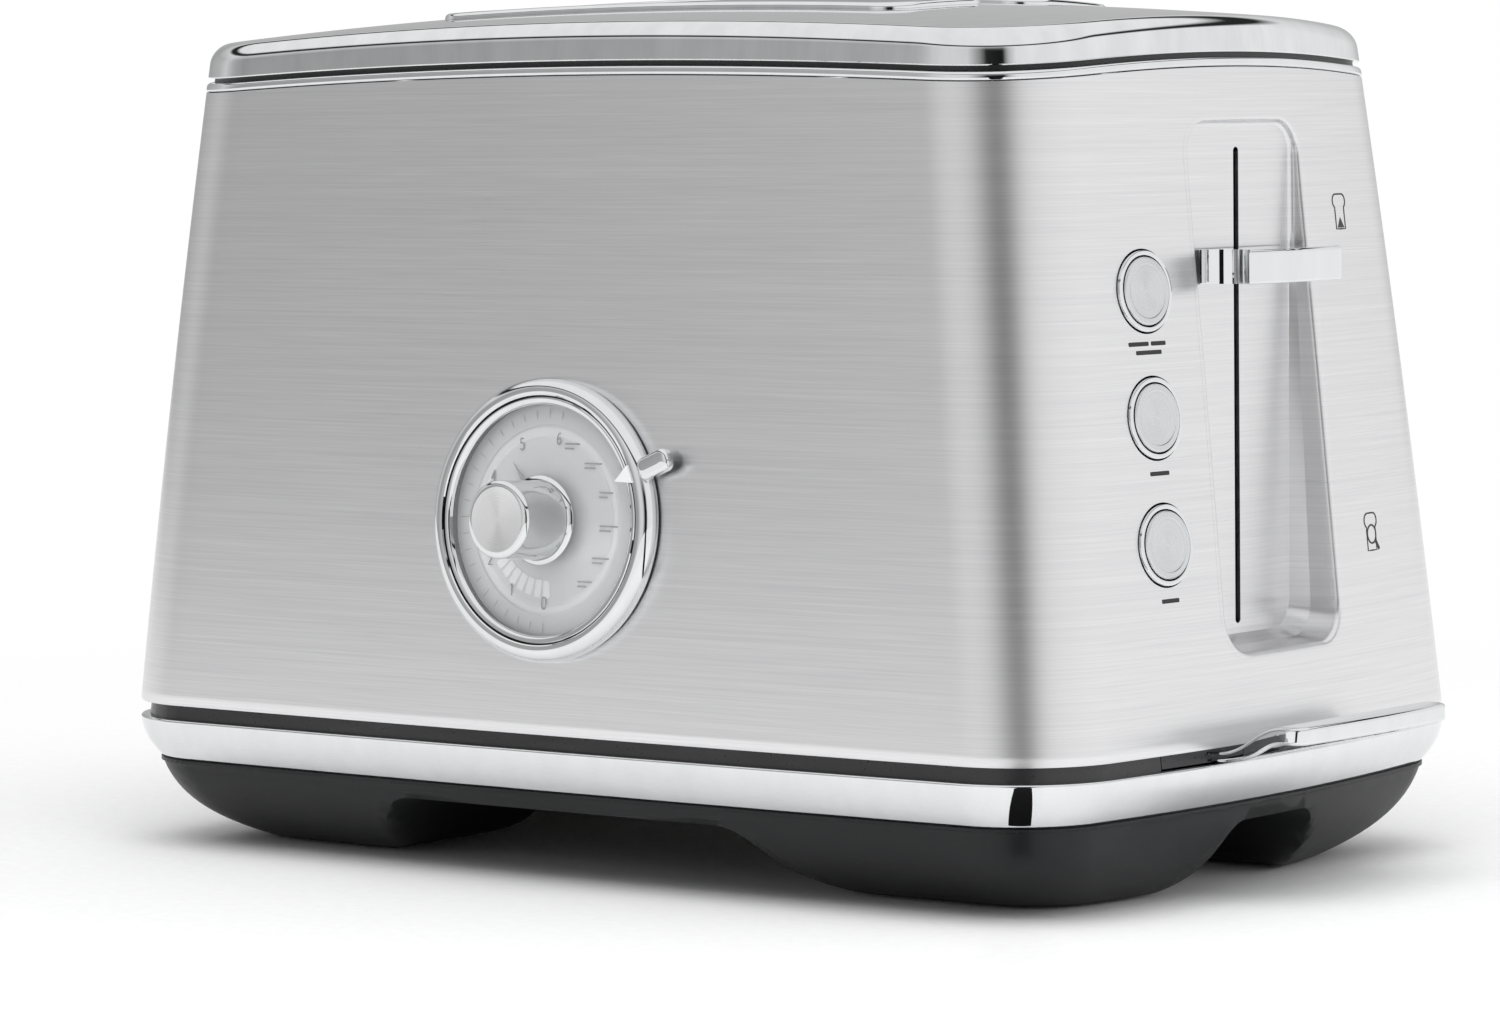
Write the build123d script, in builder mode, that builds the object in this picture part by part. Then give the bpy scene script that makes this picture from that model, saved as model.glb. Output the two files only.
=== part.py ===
from build123d import *
import os
from math import asin, cos, degrees, radians, sin, sqrt

os.makedirs("parts", exist_ok=True)

# The pieces are laid out about the middle of the body: +X to the lever end, -Y to the dial, +Z up.
# finish() then sets them about the middle of the whole, which the handle and the knob push off the body's.

# Leaning shell: a rounded box with bowed sides, smaller at the seam than at the base
shell_bottom = 36.7
seam_apex = 197.8
corner_x_low = 144.3
corner_x_high = 128.8
corner_y_low = 93.0
corner_y_high = 80.1
end_bow = 8.1
side_bow = 2.2
corner_radius_low = 27.5
corner_radius_high = 29.9
side_bulge = 0.5
shell_wall = 1.0
shell_flange = 5.0
seam_radius_x = 2160.0
seam_radius_y = 740.0
arch_half_x = 170.0
arch_half_y = 130.0
arch_depth = 60.0

# Lid: polished casting, arched both ways, on a bead and a dark groove
bead_height = 2.3
groove_height = 1.2
lid_rise = 13.2
lid_apex = seam_apex + lid_rise
lid_radius_x = 1700.0
lid_radius_y = 620.0
lid_wall = 3.0
lid_edge_radius = 4.5
bead_depth = 5.0
groove_inset = 1.6

# Bread slots in the lid
slot_length = 140.0
slot_width = 34.0
slot_pitch = 54.0
slot_corner = 6.0
collar_wall = 1.4
collar_lip = 2.6
collar_rise = 1.5
collar_drop = 14.0

# Base: polished band over a black plinth with four feet
band_top = 33.0
band_bottom = 22.2
band_shoulder = 28.6
band_wall = 3.0
band_top_grow = 0.2
band_shoulder_grow = -0.7
band_bottom_grow = -5.0
seal_inset = 2.5
seal_wall = 3.0
plinth_underside = 17.7
plinth_floor = 2.2
plinth_lip = 0.9
plinth_wall = 6.0
foot_inset_x = 20.3
foot_inset_y = 30.0
foot_length = 50.0
foot_width = 34.0
foot_outer_x = corner_x_low - foot_inset_x
foot_outer_y = corner_y_low - foot_inset_y
foot_inner_x = foot_outer_x - foot_length
foot_inner_y = foot_outer_y - foot_width
arch_run_x = 27.0
arch_run_y = 17.0
foot_corner = 19.0
pad_size_x = 34.0
pad_size_y = 20.0
pad_thickness = 2.6
pad_proud = 0.8
pad_clearance = 0.2
boss_inset_x = 32.3
boss_inset_y = 27.0
boss_radius = 5.0
screw_radius = 3.2
screw_height = 2.2
vent_count = 6
vent_pitch = 16.0
vent_length = 36.0
vent_width = 4.0
lead_inset = 28.0
lead_length = 8.4
lead_width = 6.6
grommet_length = 15.8
grommet_width = 11.8
grommet_flange = 4.2
grommet_thickness = 1.95

# Lever recess in the +X end
recess_shallow = 2.45
recess_half_width = 23.6
recess_low = 58.8
recess_below_seam = 17.2
recess_high = seam_apex - recess_below_seam
recess_corner = 8.0
recess_draft = 6.0
recess_wall = 0.9
lever_slot_width = 2.2
lever_slot_foot = 3.5
lever_slot_head = 5.9
lever_slot_low = recess_low + lever_slot_foot
lever_slot_high = recess_high - lever_slot_head

# Lever and carriage; the rest place is the raised one
lever_headroom = 27.6
lever_footroom = 6.8
lever_z = lever_slot_high - lever_headroom
lever_height = 8.0
lever_gap = 2.3
lever_depth = 16.4
lever_flange = 2.4
lever_wing = 22.6
lever_waist = 15.5
lever_front_half = 21.3
arm_thickness = 1.6
arm_height = 10.0
carriage_drop = lever_z - lever_slot_low - lever_footroom
carriage_lift = 16.0
bracket_stand = 18.0
bracket_wall = 1.6
bracket_half = 34.0
bracket_below = 29.0
rod_stand = 9.0
rod_y = 20.0
rod_radius = 3.0
rod_clearance = 0.05
bush_wall = 2.4
rack_below_lever = 16.1
rack_top_z = lever_z - rack_below_lever
rack_web = 10.0
rack_web_wall = 2.0
rack_flange = 7.0
rack_flange_wall = 1.2
spring_radius = 4.0
spring_wire = 0.45
spring_turns = 8
latch_stand = 15.3
latch_wall = 1.7
latch_length = 14.0
latch_width = 12.0
core_radius = 3.5
core_foot = 3.0
coil_radius = 8.5
coil_flange = 1.0

# Toasting chamber
chamber_over = 12.0
chamber_beside = 13.0
chamber_half = slot_length / 2 + chamber_over
chamber_side = slot_pitch / 2 + slot_width / 2 + chamber_beside
bracket_x = chamber_half + bracket_stand
rod_x = bracket_x + rod_stand
plate_wall = 1.0
plate_vent = 4.0
chassis_z = 37.6
chassis_wall = 1.0
chassis_inset_x = 18.3
chassis_inset_y = 17.0
chassis_corner = 12.0
frame_below_seam = 13.3
frame_inset_x = 10.8
frame_inset_y = 10.1
top_frame_z = seam_apex - frame_below_seam
heater_stand = 2.0
heater_offset = slot_width / 2 + heater_stand
heater_wall = 0.8
heater_low = 50.0
heater_headroom = 6.5
heater_high = top_frame_z - heater_headroom
ribbon_count = 9
ribbon_width = 1.6
ribbon_wall = 0.3
guide_inset = 2.8
guide_offset = slot_width / 2 - guide_inset
guide_end = 4.0
guide_wire = 0.8
guide_upright = 0.65
guide_count = 7
guide_low = 46.0
guide_headroom = 4.5
guide_high = top_frame_z - guide_headroom

# Dial on the -Y face
dial_x = 1.8
dial_z = 87.8
neck_radius = 29.6
cup_wall = 1.4
cup_depth = 9.0
lens_wall = 1.2
lens_rise = 2.6
face_rise = 1.4
face_wall = 0.8
lip_wall = 1.0
ring_radius = 33.9
ring_clearance = 0.08
ring_lift = 0.5
knob_radius = 9.4
knob_base = 4.2
knob_rise = 20.0
knob_collar = 10.6
knob_edge = 1.6
shaft_radius = 3.0
needle_reach = 17.0
needle_angle = 38.0
needle_wall = 0.3
needle_hub = 7.0
needle_spread = 9.0
tab_angle = 67.0
tab_reach = 7.5
tab_width = 5.5
light_radius = 16.4
light_count = 7
light_first = 178.0
light_step = 9.0
light_width = 1.9
light_height = 4.2
board_inset = 0.9
board_over = 8.1
sensor_size = 20.0
shaft_drop = 7.0

# Buttons on the +X face
button_y = -45.4
button_mid_z = 113.3
button_pitch = 29.1
button_hole = 9.8
button_ring = 9.4
button_ring_wall = 1.2
button_gap = 0.3
button_rise = 1.1
button_stem = 3.0
button_travel = 1.2
carrier_depth = 6.0
carrier_wall = 2.0
carrier_half = 11.0
switch_height = 3.3
switch_size = 6.0
board_wall = 1.6

# Crumb tray, which slides out through the gap over the band
tray_floor_z = 33.5
tray_wall = 0.6
tray_height = 2.7
tray_inset = 7.0
tray_end_gap = 2.0
tray_front_gap = 0.8
tray_half = chamber_side - tray_inset
tray_left = -chamber_half + tray_end_gap
tray_right = corner_x_low - tray_front_gap
rail_wall = 0.8
rail_flange = 5.0
rail_lip = 3.0
rail_end_gap = 24.3
handle_half = 33.0
handle_reach = 176.0
handle_top = 42.6
handle_wall = 4.2
handle_flat = 6.4
handle_corner = 4.0
handle_bow = 1.4
handle_edge = 0.9
tongue_wall = 2.2
part_gap = 0.3

# Supply side in the -X end
supply_stand = 22.0
supply_x = -chamber_half - supply_stand
supply_half = 42.0
supply_height = 76.0


def size_at(z, grow=0.0):
    """Half-length, half-width and corner radius of the leaning box at height z."""
    rise = (z - shell_bottom) / (seam_apex - shell_bottom)
    bulge = 4 * side_bulge * rise * (1 - rise)
    half_x = corner_x_low + (corner_x_high - corner_x_low) * rise + bulge + grow
    half_y = corner_y_low + (corner_y_high - corner_y_low) * rise + bulge + grow
    radius = corner_radius_low + (corner_radius_high - corner_radius_low) * rise + grow
    return half_x, half_y, radius


def outline(z, half_x, half_y, radius):
    """Rounded rectangle with bowed sides, at height z."""
    with BuildSketch(Plane.XY.offset(z)) as face:
        with BuildLine():
            ThreePointArc((-half_x, -half_y), (0, -half_y - side_bow), (half_x, -half_y))
            ThreePointArc((half_x, -half_y), (half_x + end_bow, 0), (half_x, half_y))
            ThreePointArc((half_x, half_y), (0, half_y + side_bow), (-half_x, half_y))
            ThreePointArc((-half_x, half_y), (-half_x - end_bow, 0), (-half_x, -half_y))
        make_face()
        fillet(face.vertices(), radius)
    return face.sketch


def leaning_block(z_low, z_high, grow=0.0):
    """Solid of the shell's outer form between two heights, grown outwards."""
    heights = (z_low, (z_low + z_high) / 2, z_high)
    with BuildPart() as block:
        loft([outline(z, *size_at(z, grow)) for z in heights])
    return block.part


def under_arch(apex, radius_x, radius_y, depth):
    """Everything under a surface arched both ways: an arc across Y, carried round an arc along X."""
    half = arch_half_y
    turn = degrees(asin(arch_half_x / radius_x))
    low = Vector(0, 0, apex - radius_x)
    start = Plane(low, x_dir=(0, 1, 0), z_dir=(cos(radians(turn)), 0, sin(radians(turn))))
    drop = radius_y - sqrt(radius_y**2 - half**2)
    with BuildPart() as block:
        with BuildSketch(start) as section:
            with BuildLine():
                ThreePointArc((-half, radius_x - drop), (0, radius_x), (half, radius_x - drop))
                Polyline(
                    (half, radius_x - drop),
                    (half, radius_x - depth),
                    (-half, radius_x - depth),
                    (-half, radius_x - drop),
                )
            make_face()
        revolve(axis=Axis(low, (0, 1, 0)), revolution_arc=2 * turn)
    return block.part


def under_seam(rise):
    """Everything under the shell's top edge, raised by the given height."""
    return under_arch(seam_apex + rise, seam_radius_x, seam_radius_y, seam_apex + 30)


def end_plane(y, z):
    """Plane on the +X face, its normal outwards and its second axis up."""
    half_x, half_y, _ = size_at(z)
    above_x, above_y, _ = size_at(z + 1)
    x = half_x + end_bow * (1 - (y / half_y) ** 2)
    x_above = above_x + end_bow * (1 - (y / above_y) ** 2)
    across = -2 * end_bow * y / half_y**2
    return Plane((x, y, z), x_dir=(across, 1, 0), z_dir=(1, -across, x - x_above))


def front_plane(x, z):
    """Plane on the -Y face, its normal outwards and its second axis up."""
    y = -(size_at(z)[1] + side_bow)
    y_above = -(size_at(z + 1)[1] + side_bow)
    return Plane((x, y, z), x_dir=(1, 0, 0), z_dir=(0, -1, y_above - y))


dial_plane = front_plane(dial_x, dial_z)
knob_front = dial_plane.origin + dial_plane.z_dir * knob_rise
knob_front_y = knob_front.Y - (knob_radius - knob_edge) * abs(dial_plane.z_dir.Z)
whole_middle = Vector(
    (handle_reach - corner_x_low - end_bow) / 2, (knob_front_y + corner_y_low + side_bow) / 2, 0
)


def finish(piece, name):
    """Label a finished piece and write it, set about the middle of the whole."""
    piece.part.label = name
    export_step(piece.part.moved(Location(-whole_middle)), "parts/" + name + ".step")


button_plane = end_plane(button_y, button_mid_z)
button_heights = (button_pitch, 0.0, -button_pitch)
slot_places = (-slot_pitch / 2, slot_pitch / 2)
recess_floor_x = size_at(recess_high)[0] + end_bow - recess_shallow
lever_back_x = recess_floor_x + lever_gap
lever_front_x = lever_back_x + lever_depth
recess_mid = (recess_low + recess_high) / 2
recess_height = recess_high - recess_low


def recess_block(grow):
    """Solid of the recess: a rounded rectangle that widens from its floor to the face."""
    with BuildPart() as block:
        with BuildSketch(Plane.YZ.offset(recess_floor_x - grow)):
            with Locations((0, recess_mid)):
                RectangleRounded(
                    2 * (recess_half_width + grow), recess_height + 2 * grow, recess_corner + grow
                )
        extrude(amount=25, taper=-recess_draft)
    return block.part


# Outer shell: one leaning skin, open below, with a turned-in flange at its foot
shell_top = seam_apex + 4
shell_form = leaning_block(shell_bottom, shell_top)
shell_inside = leaning_block(shell_bottom + shell_wall, shell_top, -shell_wall)
with BuildPart() as outer_shell:
    add(shell_form)
    add(shell_inside, mode=Mode.SUBTRACT)
    with BuildSketch(Plane.XY.offset(shell_bottom)):
        add(outline(shell_bottom, *size_at(shell_bottom, -shell_flange)))
    extrude(amount=2 * shell_wall, mode=Mode.SUBTRACT)
    add(under_seam(0), mode=Mode.INTERSECT)
    add(recess_block(recess_wall + 0.1), mode=Mode.SUBTRACT)
    with BuildSketch(dial_plane.offset(-10)):
        Circle(neck_radius + 0.4)
    extrude(amount=15, mode=Mode.SUBTRACT)
    with BuildSketch(button_plane.offset(-8)):
        with Locations(*[(0, height) for height in button_heights]):
            Circle(button_hole)
    extrude(amount=12, mode=Mode.SUBTRACT)
finish(outer_shell, "outer_shell")

# Lever recess: a pressed tray let into the end of the shell, with the lever's slot down its middle
with BuildPart() as lever_recess:
    add(recess_block(recess_wall))
    add(shell_form, mode=Mode.INTERSECT)
    add(recess_block(0), mode=Mode.SUBTRACT)
    with BuildSketch(Plane.YZ.offset(recess_floor_x + 2)):
        with Locations((0, (lever_slot_low + lever_slot_high) / 2)):
            SlotOverall(lever_slot_high - lever_slot_low, lever_slot_width, rotation=90)
    extrude(amount=-6, mode=Mode.SUBTRACT)
finish(lever_recess, "lever_recess")

# Bead under the lid: a polished ring that follows the arched seam
ring_low = seam_apex - 14
rim_form = leaning_block(ring_low, lid_apex + 4)
with BuildPart() as lid_bead:
    add(rim_form)
    add(leaning_block(ring_low - 1, lid_apex + 5, -bead_depth), mode=Mode.SUBTRACT)
    add(under_seam(bead_height), mode=Mode.INTERSECT)
    add(under_seam(0.05), mode=Mode.SUBTRACT)
finish(lid_bead, "lid_bead")

# Dark seal in the groove between the bead and the lid
with BuildPart() as lid_seal:
    add(leaning_block(ring_low, lid_apex + 4, -groove_inset))
    add(leaning_block(ring_low - 1, lid_apex + 5, -bead_depth), mode=Mode.SUBTRACT)
    add(under_seam(bead_height + groove_height - 0.05), mode=Mode.INTERSECT)
    add(under_seam(bead_height + 0.05), mode=Mode.SUBTRACT)
finish(lid_seal, "lid_seal")

# Lid: an arched casting with a rounded shoulder, hollow below, with two bread slots
lid_under = bead_height + groove_height
with BuildPart() as lid_inside:
    add(leaning_block(ring_low - 1, lid_apex, -lid_wall))
    add(under_arch(lid_apex - lid_wall, lid_radius_x, lid_radius_y, arch_depth), mode=Mode.INTERSECT)
with BuildPart() as lid:
    add(rim_form)
    add(under_arch(lid_apex, lid_radius_x, lid_radius_y, arch_depth), mode=Mode.INTERSECT)
    fillet(lid.faces().sort_by(Axis.Z)[-1].outer_wire().edges(), lid_edge_radius)
    add(under_seam(lid_under), mode=Mode.SUBTRACT)
    add(lid_inside.part, mode=Mode.SUBTRACT)
    with BuildSketch(Plane.XY.offset(lid_apex + 5)):
        with Locations(*[(0, y) for y in slot_places]):
            RectangleRounded(
                slot_length + 2 * collar_wall + 0.1,
                slot_width + 2 * collar_wall + 0.1,
                slot_corner + collar_wall,
            )
    extrude(amount=-40, mode=Mode.SUBTRACT)
finish(lid, "lid")

# Slot collars: polished rings with a lip that lies on the arched lid and a skirt down the slot
collar_form = under_arch(lid_apex + collar_rise, lid_radius_x, lid_radius_y, arch_depth)
lid_surface = under_arch(lid_apex + 0.05, lid_radius_x, lid_radius_y, arch_depth)
with BuildPart() as collar_lips:
    with BuildSketch(Plane.XY.offset(lid_apex - 12)):
        with Locations(*[(0, y) for y in slot_places]):
            RectangleRounded(
                slot_length + 2 * collar_lip,
                slot_width + 2 * collar_lip,
                slot_corner + collar_lip,
            )
    extrude(amount=20)
    add(lid_surface, mode=Mode.SUBTRACT)
with BuildPart() as slot_collars:
    with BuildSketch(Plane.XY.offset(lid_apex - collar_drop)):
        with Locations(*[(0, y) for y in slot_places]):
            RectangleRounded(
                slot_length + 2 * collar_wall,
                slot_width + 2 * collar_wall,
                slot_corner + collar_wall,
            )
    extrude(amount=collar_drop + 6)
    add(collar_lips.part)
    with BuildSketch(Plane.XY.offset(lid_apex - collar_drop - 1)):
        with Locations(*[(0, y) for y in slot_places]):
            RectangleRounded(slot_length, slot_width, slot_corner)
    extrude(amount=collar_drop + 10, mode=Mode.SUBTRACT)
    add(collar_form, mode=Mode.INTERSECT)
finish(slot_collars, "slot_collars")

# Dark gasket between the shell and the band, open at the tray's handle
with BuildPart() as shell_seal:
    add(leaning_block(band_top, shell_bottom, -seal_inset))
    add(leaning_block(band_top - 1, shell_bottom + 1, -seal_inset - seal_wall), mode=Mode.SUBTRACT)
    with Locations((corner_x_low, 0, (band_top + shell_bottom) / 2)):
        Box(60, 2 * (tray_half + part_gap), 12, mode=Mode.SUBTRACT)
finish(shell_seal, "shell_seal")

# The piece of that gasket that closes the tray's gap and comes out with the tray
with BuildPart() as tray_gasket:
    add(leaning_block(band_top + part_gap, shell_bottom - part_gap, -seal_inset))
    add(leaning_block(band_top, shell_bottom, -seal_inset - seal_wall), mode=Mode.SUBTRACT)
    with Locations((corner_x_low, 0, (band_top + shell_bottom) / 2)):
        Box(60, 2 * tray_half, 12, mode=Mode.INTERSECT)
    with Locations((corner_x_low, 0, tray_floor_z)):
        Box(
            60,
            2 * handle_half,
            tongue_wall,
            align=(Align.CENTER, Align.CENTER, Align.MIN),
            mode=Mode.SUBTRACT,
        )
finish(tray_gasket, "tray_gasket")


def band_block(inset, over):
    """Solid of the band: widest near its top, rounding in to the plinth."""
    sizes = (
        (band_bottom - over, band_bottom_grow - inset),
        (band_shoulder, band_shoulder_grow - inset),
        (band_top + over, band_top_grow - inset),
    )
    with BuildPart() as block:
        loft([outline(z, *size_at(shell_bottom, grow)) for z, grow in sizes])
    return block.part


# Polished band round the base
with BuildPart() as base_band:
    add(band_block(0, 0))
    add(band_block(band_wall, 1), mode=Mode.SUBTRACT)
    fillet(base_band.faces().sort_by(Axis.Z)[-1].outer_wire().edges(), 0.8)
finish(base_band, "base_band")

# Plinth: a moulded tub that draws in to four feet, with arches between them on all four sides
plinth_x, plinth_y, plinth_radius = size_at(shell_bottom, band_bottom_grow)
foot_sections = (
    (band_bottom - plinth_lip, 0.0),
    (0.55 * band_bottom, 0.22),
    (0.2 * band_bottom, 0.66),
    (pad_proud, 1.0),
)
arch_low = -1.0
with BuildPart() as plinth:
    loft(
        [
            outline(
                z,
                plinth_x + (foot_outer_x - plinth_x) * draw,
                plinth_y + (foot_outer_y - plinth_y) * draw,
                plinth_radius + (foot_corner - plinth_radius) * draw,
            )
            for z, draw in reversed(foot_sections)
        ]
    )
    with BuildSketch(Plane.XY.offset(band_bottom - plinth_lip)):
        add(outline(0, plinth_x + 0.5, plinth_y + 0.5, plinth_radius + 0.5))
    extrude(amount=plinth_lip)
    with BuildSketch(Plane.XZ):
        with BuildLine():
            top_x = foot_inner_x - arch_run_x
            Spline(
                (foot_inner_x, pad_proud),
                (foot_inner_x - arch_run_x / 2, (pad_proud + plinth_underside) / 2),
                (top_x, plinth_underside),
                tangents=((-1, 0.1), (-1, 0)),
            )
            Line((top_x, plinth_underside), (-top_x, plinth_underside))
            Spline(
                (-top_x, plinth_underside),
                (-foot_inner_x + arch_run_x / 2, (pad_proud + plinth_underside) / 2),
                (-foot_inner_x, pad_proud),
                tangents=((-1, 0), (-1, -0.1)),
            )
            Polyline(
                (-foot_inner_x, pad_proud),
                (-foot_inner_x, arch_low),
                (foot_inner_x, arch_low),
                (foot_inner_x, pad_proud),
            )
        make_face()
    extrude(amount=120, both=True, mode=Mode.SUBTRACT)
    with BuildSketch(Plane.YZ):
        with BuildLine():
            top_y = foot_inner_y - arch_run_y
            Spline(
                (foot_inner_y, pad_proud),
                (foot_inner_y - arch_run_y / 2, (pad_proud + plinth_underside) / 2),
                (top_y, plinth_underside),
                tangents=((-1, 0.1), (-1, 0)),
            )
            Line((top_y, plinth_underside), (-top_y, plinth_underside))
            Spline(
                (-top_y, plinth_underside),
                (-foot_inner_y + arch_run_y / 2, (pad_proud + plinth_underside) / 2),
                (-foot_inner_y, pad_proud),
                tangents=((-1, 0), (-1, -0.1)),
            )
            Polyline(
                (-foot_inner_y, pad_proud),
                (-foot_inner_y, arch_low),
                (foot_inner_y, arch_low),
                (foot_inner_y, pad_proud),
            )
        make_face()
    extrude(amount=170, both=True, mode=Mode.SUBTRACT)
    plinth_floor_z = plinth_underside + plinth_floor
    with BuildSketch(Plane.XY.offset(plinth_floor_z)):
        add(outline(0, plinth_x - plinth_wall, plinth_y - plinth_wall, plinth_radius - plinth_wall))
    extrude(amount=band_bottom, mode=Mode.SUBTRACT)
    boss_x = corner_x_low - boss_inset_x
    boss_y = corner_y_low - boss_inset_y
    boss_places = [(x, y) for x in (-boss_x, boss_x) for y in (-boss_y, boss_y)]
    with BuildSketch(Plane.XY.offset(plinth_floor_z - 1)):
        with Locations(*boss_places):
            Circle(boss_radius)
    extrude(amount=chassis_z - plinth_floor_z + 1)
    with BuildSketch(Plane.XY.offset(plinth_underside - 1)):
        with GridLocations(vent_pitch, 0, vent_count, 1):
            SlotOverall(vent_length, vent_width, rotation=90)
    extrude(amount=plinth_floor + 2, mode=Mode.SUBTRACT)
    lead_x = -foot_outer_x + lead_inset
    with BuildSketch(Plane.XY.offset(plinth_underside - 1)):
        with Locations((lead_x, 0)):
            SlotOverall(grommet_length + pad_clearance, grommet_width + pad_clearance, rotation=90)
    extrude(amount=plinth_floor + 2, mode=Mode.SUBTRACT)
    foot_mid_x = (foot_inner_x + foot_outer_x) / 2
    foot_mid_y = (foot_inner_y + foot_outer_y) / 2
    pad_places = [(x, y) for x in (-foot_mid_x, foot_mid_x) for y in (-foot_mid_y, foot_mid_y)]
    with BuildSketch(Plane.XY.offset(pad_proud - 1)):
        with Locations(*pad_places):
            RectangleRounded(pad_size_x, pad_size_y, pad_size_y / 2 - 1)
    extrude(amount=pad_thickness - pad_proud + 1, mode=Mode.SUBTRACT)
finish(plinth, "plinth")

# Rubber pads let into the feet
with BuildPart() as foot_pads:
    with BuildSketch():
        with Locations(*pad_places):
            RectangleRounded(
                pad_size_x - 2 * pad_clearance,
                pad_size_y - 2 * pad_clearance,
                pad_size_y / 2 - 1 - pad_clearance,
            )
    extrude(amount=pad_thickness)
    fillet(foot_pads.faces().sort_by(Axis.Z)[0:4].edges(), 0.5)
finish(foot_pads, "foot_pads")

# Grommet where the supply lead leaves the plinth floor
with BuildPart() as cord_inlet:
    grommet_top = plinth_underside - 0.05
    with BuildSketch(Plane.XY.offset(grommet_top - grommet_thickness)):
        with Locations((lead_x, 0)):
            SlotOverall(grommet_length + grommet_flange, grommet_width + grommet_flange, rotation=90)
    extrude(amount=grommet_thickness)
    with BuildSketch(Plane.XY.offset(grommet_top)):
        with Locations((lead_x, 0)):
            SlotOverall(grommet_length, grommet_width, rotation=90)
    extrude(amount=plinth_floor + 4)
    with BuildSketch(Plane.XY.offset(plinth_underside - 3)):
        with Locations((lead_x, 0)):
            SlotOverall(lead_length, lead_width, rotation=90)
    extrude(amount=plinth_floor + 8, mode=Mode.SUBTRACT)
finish(cord_inlet, "cord_inlet")

# Chassis plate on the plinth's bosses, open over the crumb tray
chassis_top = chassis_z + chassis_wall
with BuildPart() as chassis_plate:
    with BuildSketch(Plane.XY.offset(chassis_z)) as chassis_outline:
        Rectangle(2 * (corner_x_low - chassis_inset_x), 2 * (corner_y_low - chassis_inset_y))
        fillet(chassis_outline.vertices(), chassis_corner)
        Rectangle(2 * (chamber_half - 3), 2 * (tray_half - 2), mode=Mode.SUBTRACT)
        with Locations(*boss_places):
            Circle(1.8, mode=Mode.SUBTRACT)
    extrude(amount=chassis_wall)
finish(chassis_plate, "chassis_plate")

# Screws that hold the chassis plate to the bosses
with BuildPart() as chassis_screws:
    with Locations(*[(x, y, chassis_top) for x, y in boss_places]):
        Cylinder(screw_radius, screw_height, align=(Align.CENTER, Align.CENTER, Align.MIN))
    fillet(chassis_screws.faces().sort_by(Axis.Z)[-4:].edges(), 0.8)
finish(chassis_screws, "chassis_screws")

# Rails that carry the crumb tray, hung under the chassis plate
rail_inner = tray_half + part_gap
rail_shelf_z = tray_floor_z - part_gap
with BuildPart() as tray_rails:
    for side in (-1, 1):
        with BuildSketch(Plane.YZ.offset(tray_left)):
            with BuildLine():
                Polyline(
                    (side * (tray_half - rail_lip), rail_shelf_z),
                    (side * rail_inner, rail_shelf_z),
                    (side * rail_inner, chassis_z),
                    (side * (rail_inner + rail_flange), chassis_z),
                    (side * (rail_inner + rail_flange), chassis_z - rail_wall),
                    (side * (rail_inner + rail_wall), chassis_z - rail_wall),
                    (side * (rail_inner + rail_wall), rail_shelf_z - rail_wall),
                    (side * (tray_half - rail_lip), rail_shelf_z - rail_wall),
                    close=True,
                )
            make_face()
        extrude(amount=corner_x_low - rail_end_gap - tray_left)
finish(tray_rails, "tray_rails")

# Crumb tray: a shallow pan on the rails
tray_mid_x = (tray_left + tray_right) / 2
tray_length = tray_right - tray_left
with BuildPart() as crumb_tray:
    with BuildSketch(Plane.XY.offset(tray_floor_z)):
        with Locations((tray_mid_x, 0)):
            RectangleRounded(tray_length, 2 * tray_half, 6)
    extrude(amount=tray_height)
    with BuildSketch(Plane.XY.offset(tray_floor_z + tray_wall)):
        with Locations((tray_mid_x, 0)):
            RectangleRounded(tray_length - 2 * tray_wall, 2 * (tray_half - tray_wall), 6 - tray_wall)
    extrude(amount=tray_height, mode=Mode.SUBTRACT)
finish(crumb_tray, "crumb_tray")

# Tray handle: a polished strip that leaves the gap over the band and sweeps up to a full front edge
root_x = corner_x_low + end_bow - 2.0
handle_low = handle_top - handle_wall
tongue_top = tray_floor_z + tongue_wall
flat_x = handle_reach - handle_flat
sweep_run = handle_reach - root_x
with BuildPart() as tray_handle:
    with BuildSketch(Plane.XZ):
        with BuildLine():
            Line((tray_right, tray_floor_z), (root_x, tray_floor_z))
            Bezier(
                (root_x, tray_floor_z),
                (root_x + 0.55 * sweep_run, tray_floor_z),
                (root_x + 0.5 * sweep_run, handle_low),
                (flat_x, handle_low),
            )
            Polyline(
                (flat_x, handle_low),
                (handle_reach + 1, handle_low),
                (handle_reach + 1, handle_top),
                (flat_x, handle_top),
            )
            Bezier(
                (flat_x, handle_top),
                (root_x + 0.45 * sweep_run, handle_top),
                (root_x + 0.35 * sweep_run, tongue_top),
                (root_x, tongue_top),
            )
            Polyline((root_x, tongue_top), (tray_right, tongue_top), (tray_right, tray_floor_z))
        make_face()
    extrude(amount=handle_half + 1, both=True)
    corner_reach = handle_reach - handle_bow
    with BuildSketch(Plane.XY.offset(tray_floor_z - 1)) as handle_plan:
        with BuildLine():
            ThreePointArc((corner_reach, -handle_half), (handle_reach, 0), (corner_reach, handle_half))
            Polyline(
                (corner_reach, handle_half),
                (tray_right - 1, handle_half),
                (tray_right - 1, -handle_half),
                (corner_reach, -handle_half),
            )
        make_face()
        fillet(handle_plan.vertices().sort_by(Axis.X)[-2:], handle_corner)
    extrude(amount=handle_top - tray_floor_z + 2, mode=Mode.INTERSECT)
    for flat in tray_handle.faces().filter_by(Axis.Z).group_by(Axis.Z)[-2:]:
        fillet(flat[0].edges().sort_by(Axis.X)[1:], handle_edge)
finish(tray_handle, "tray_handle")

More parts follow.
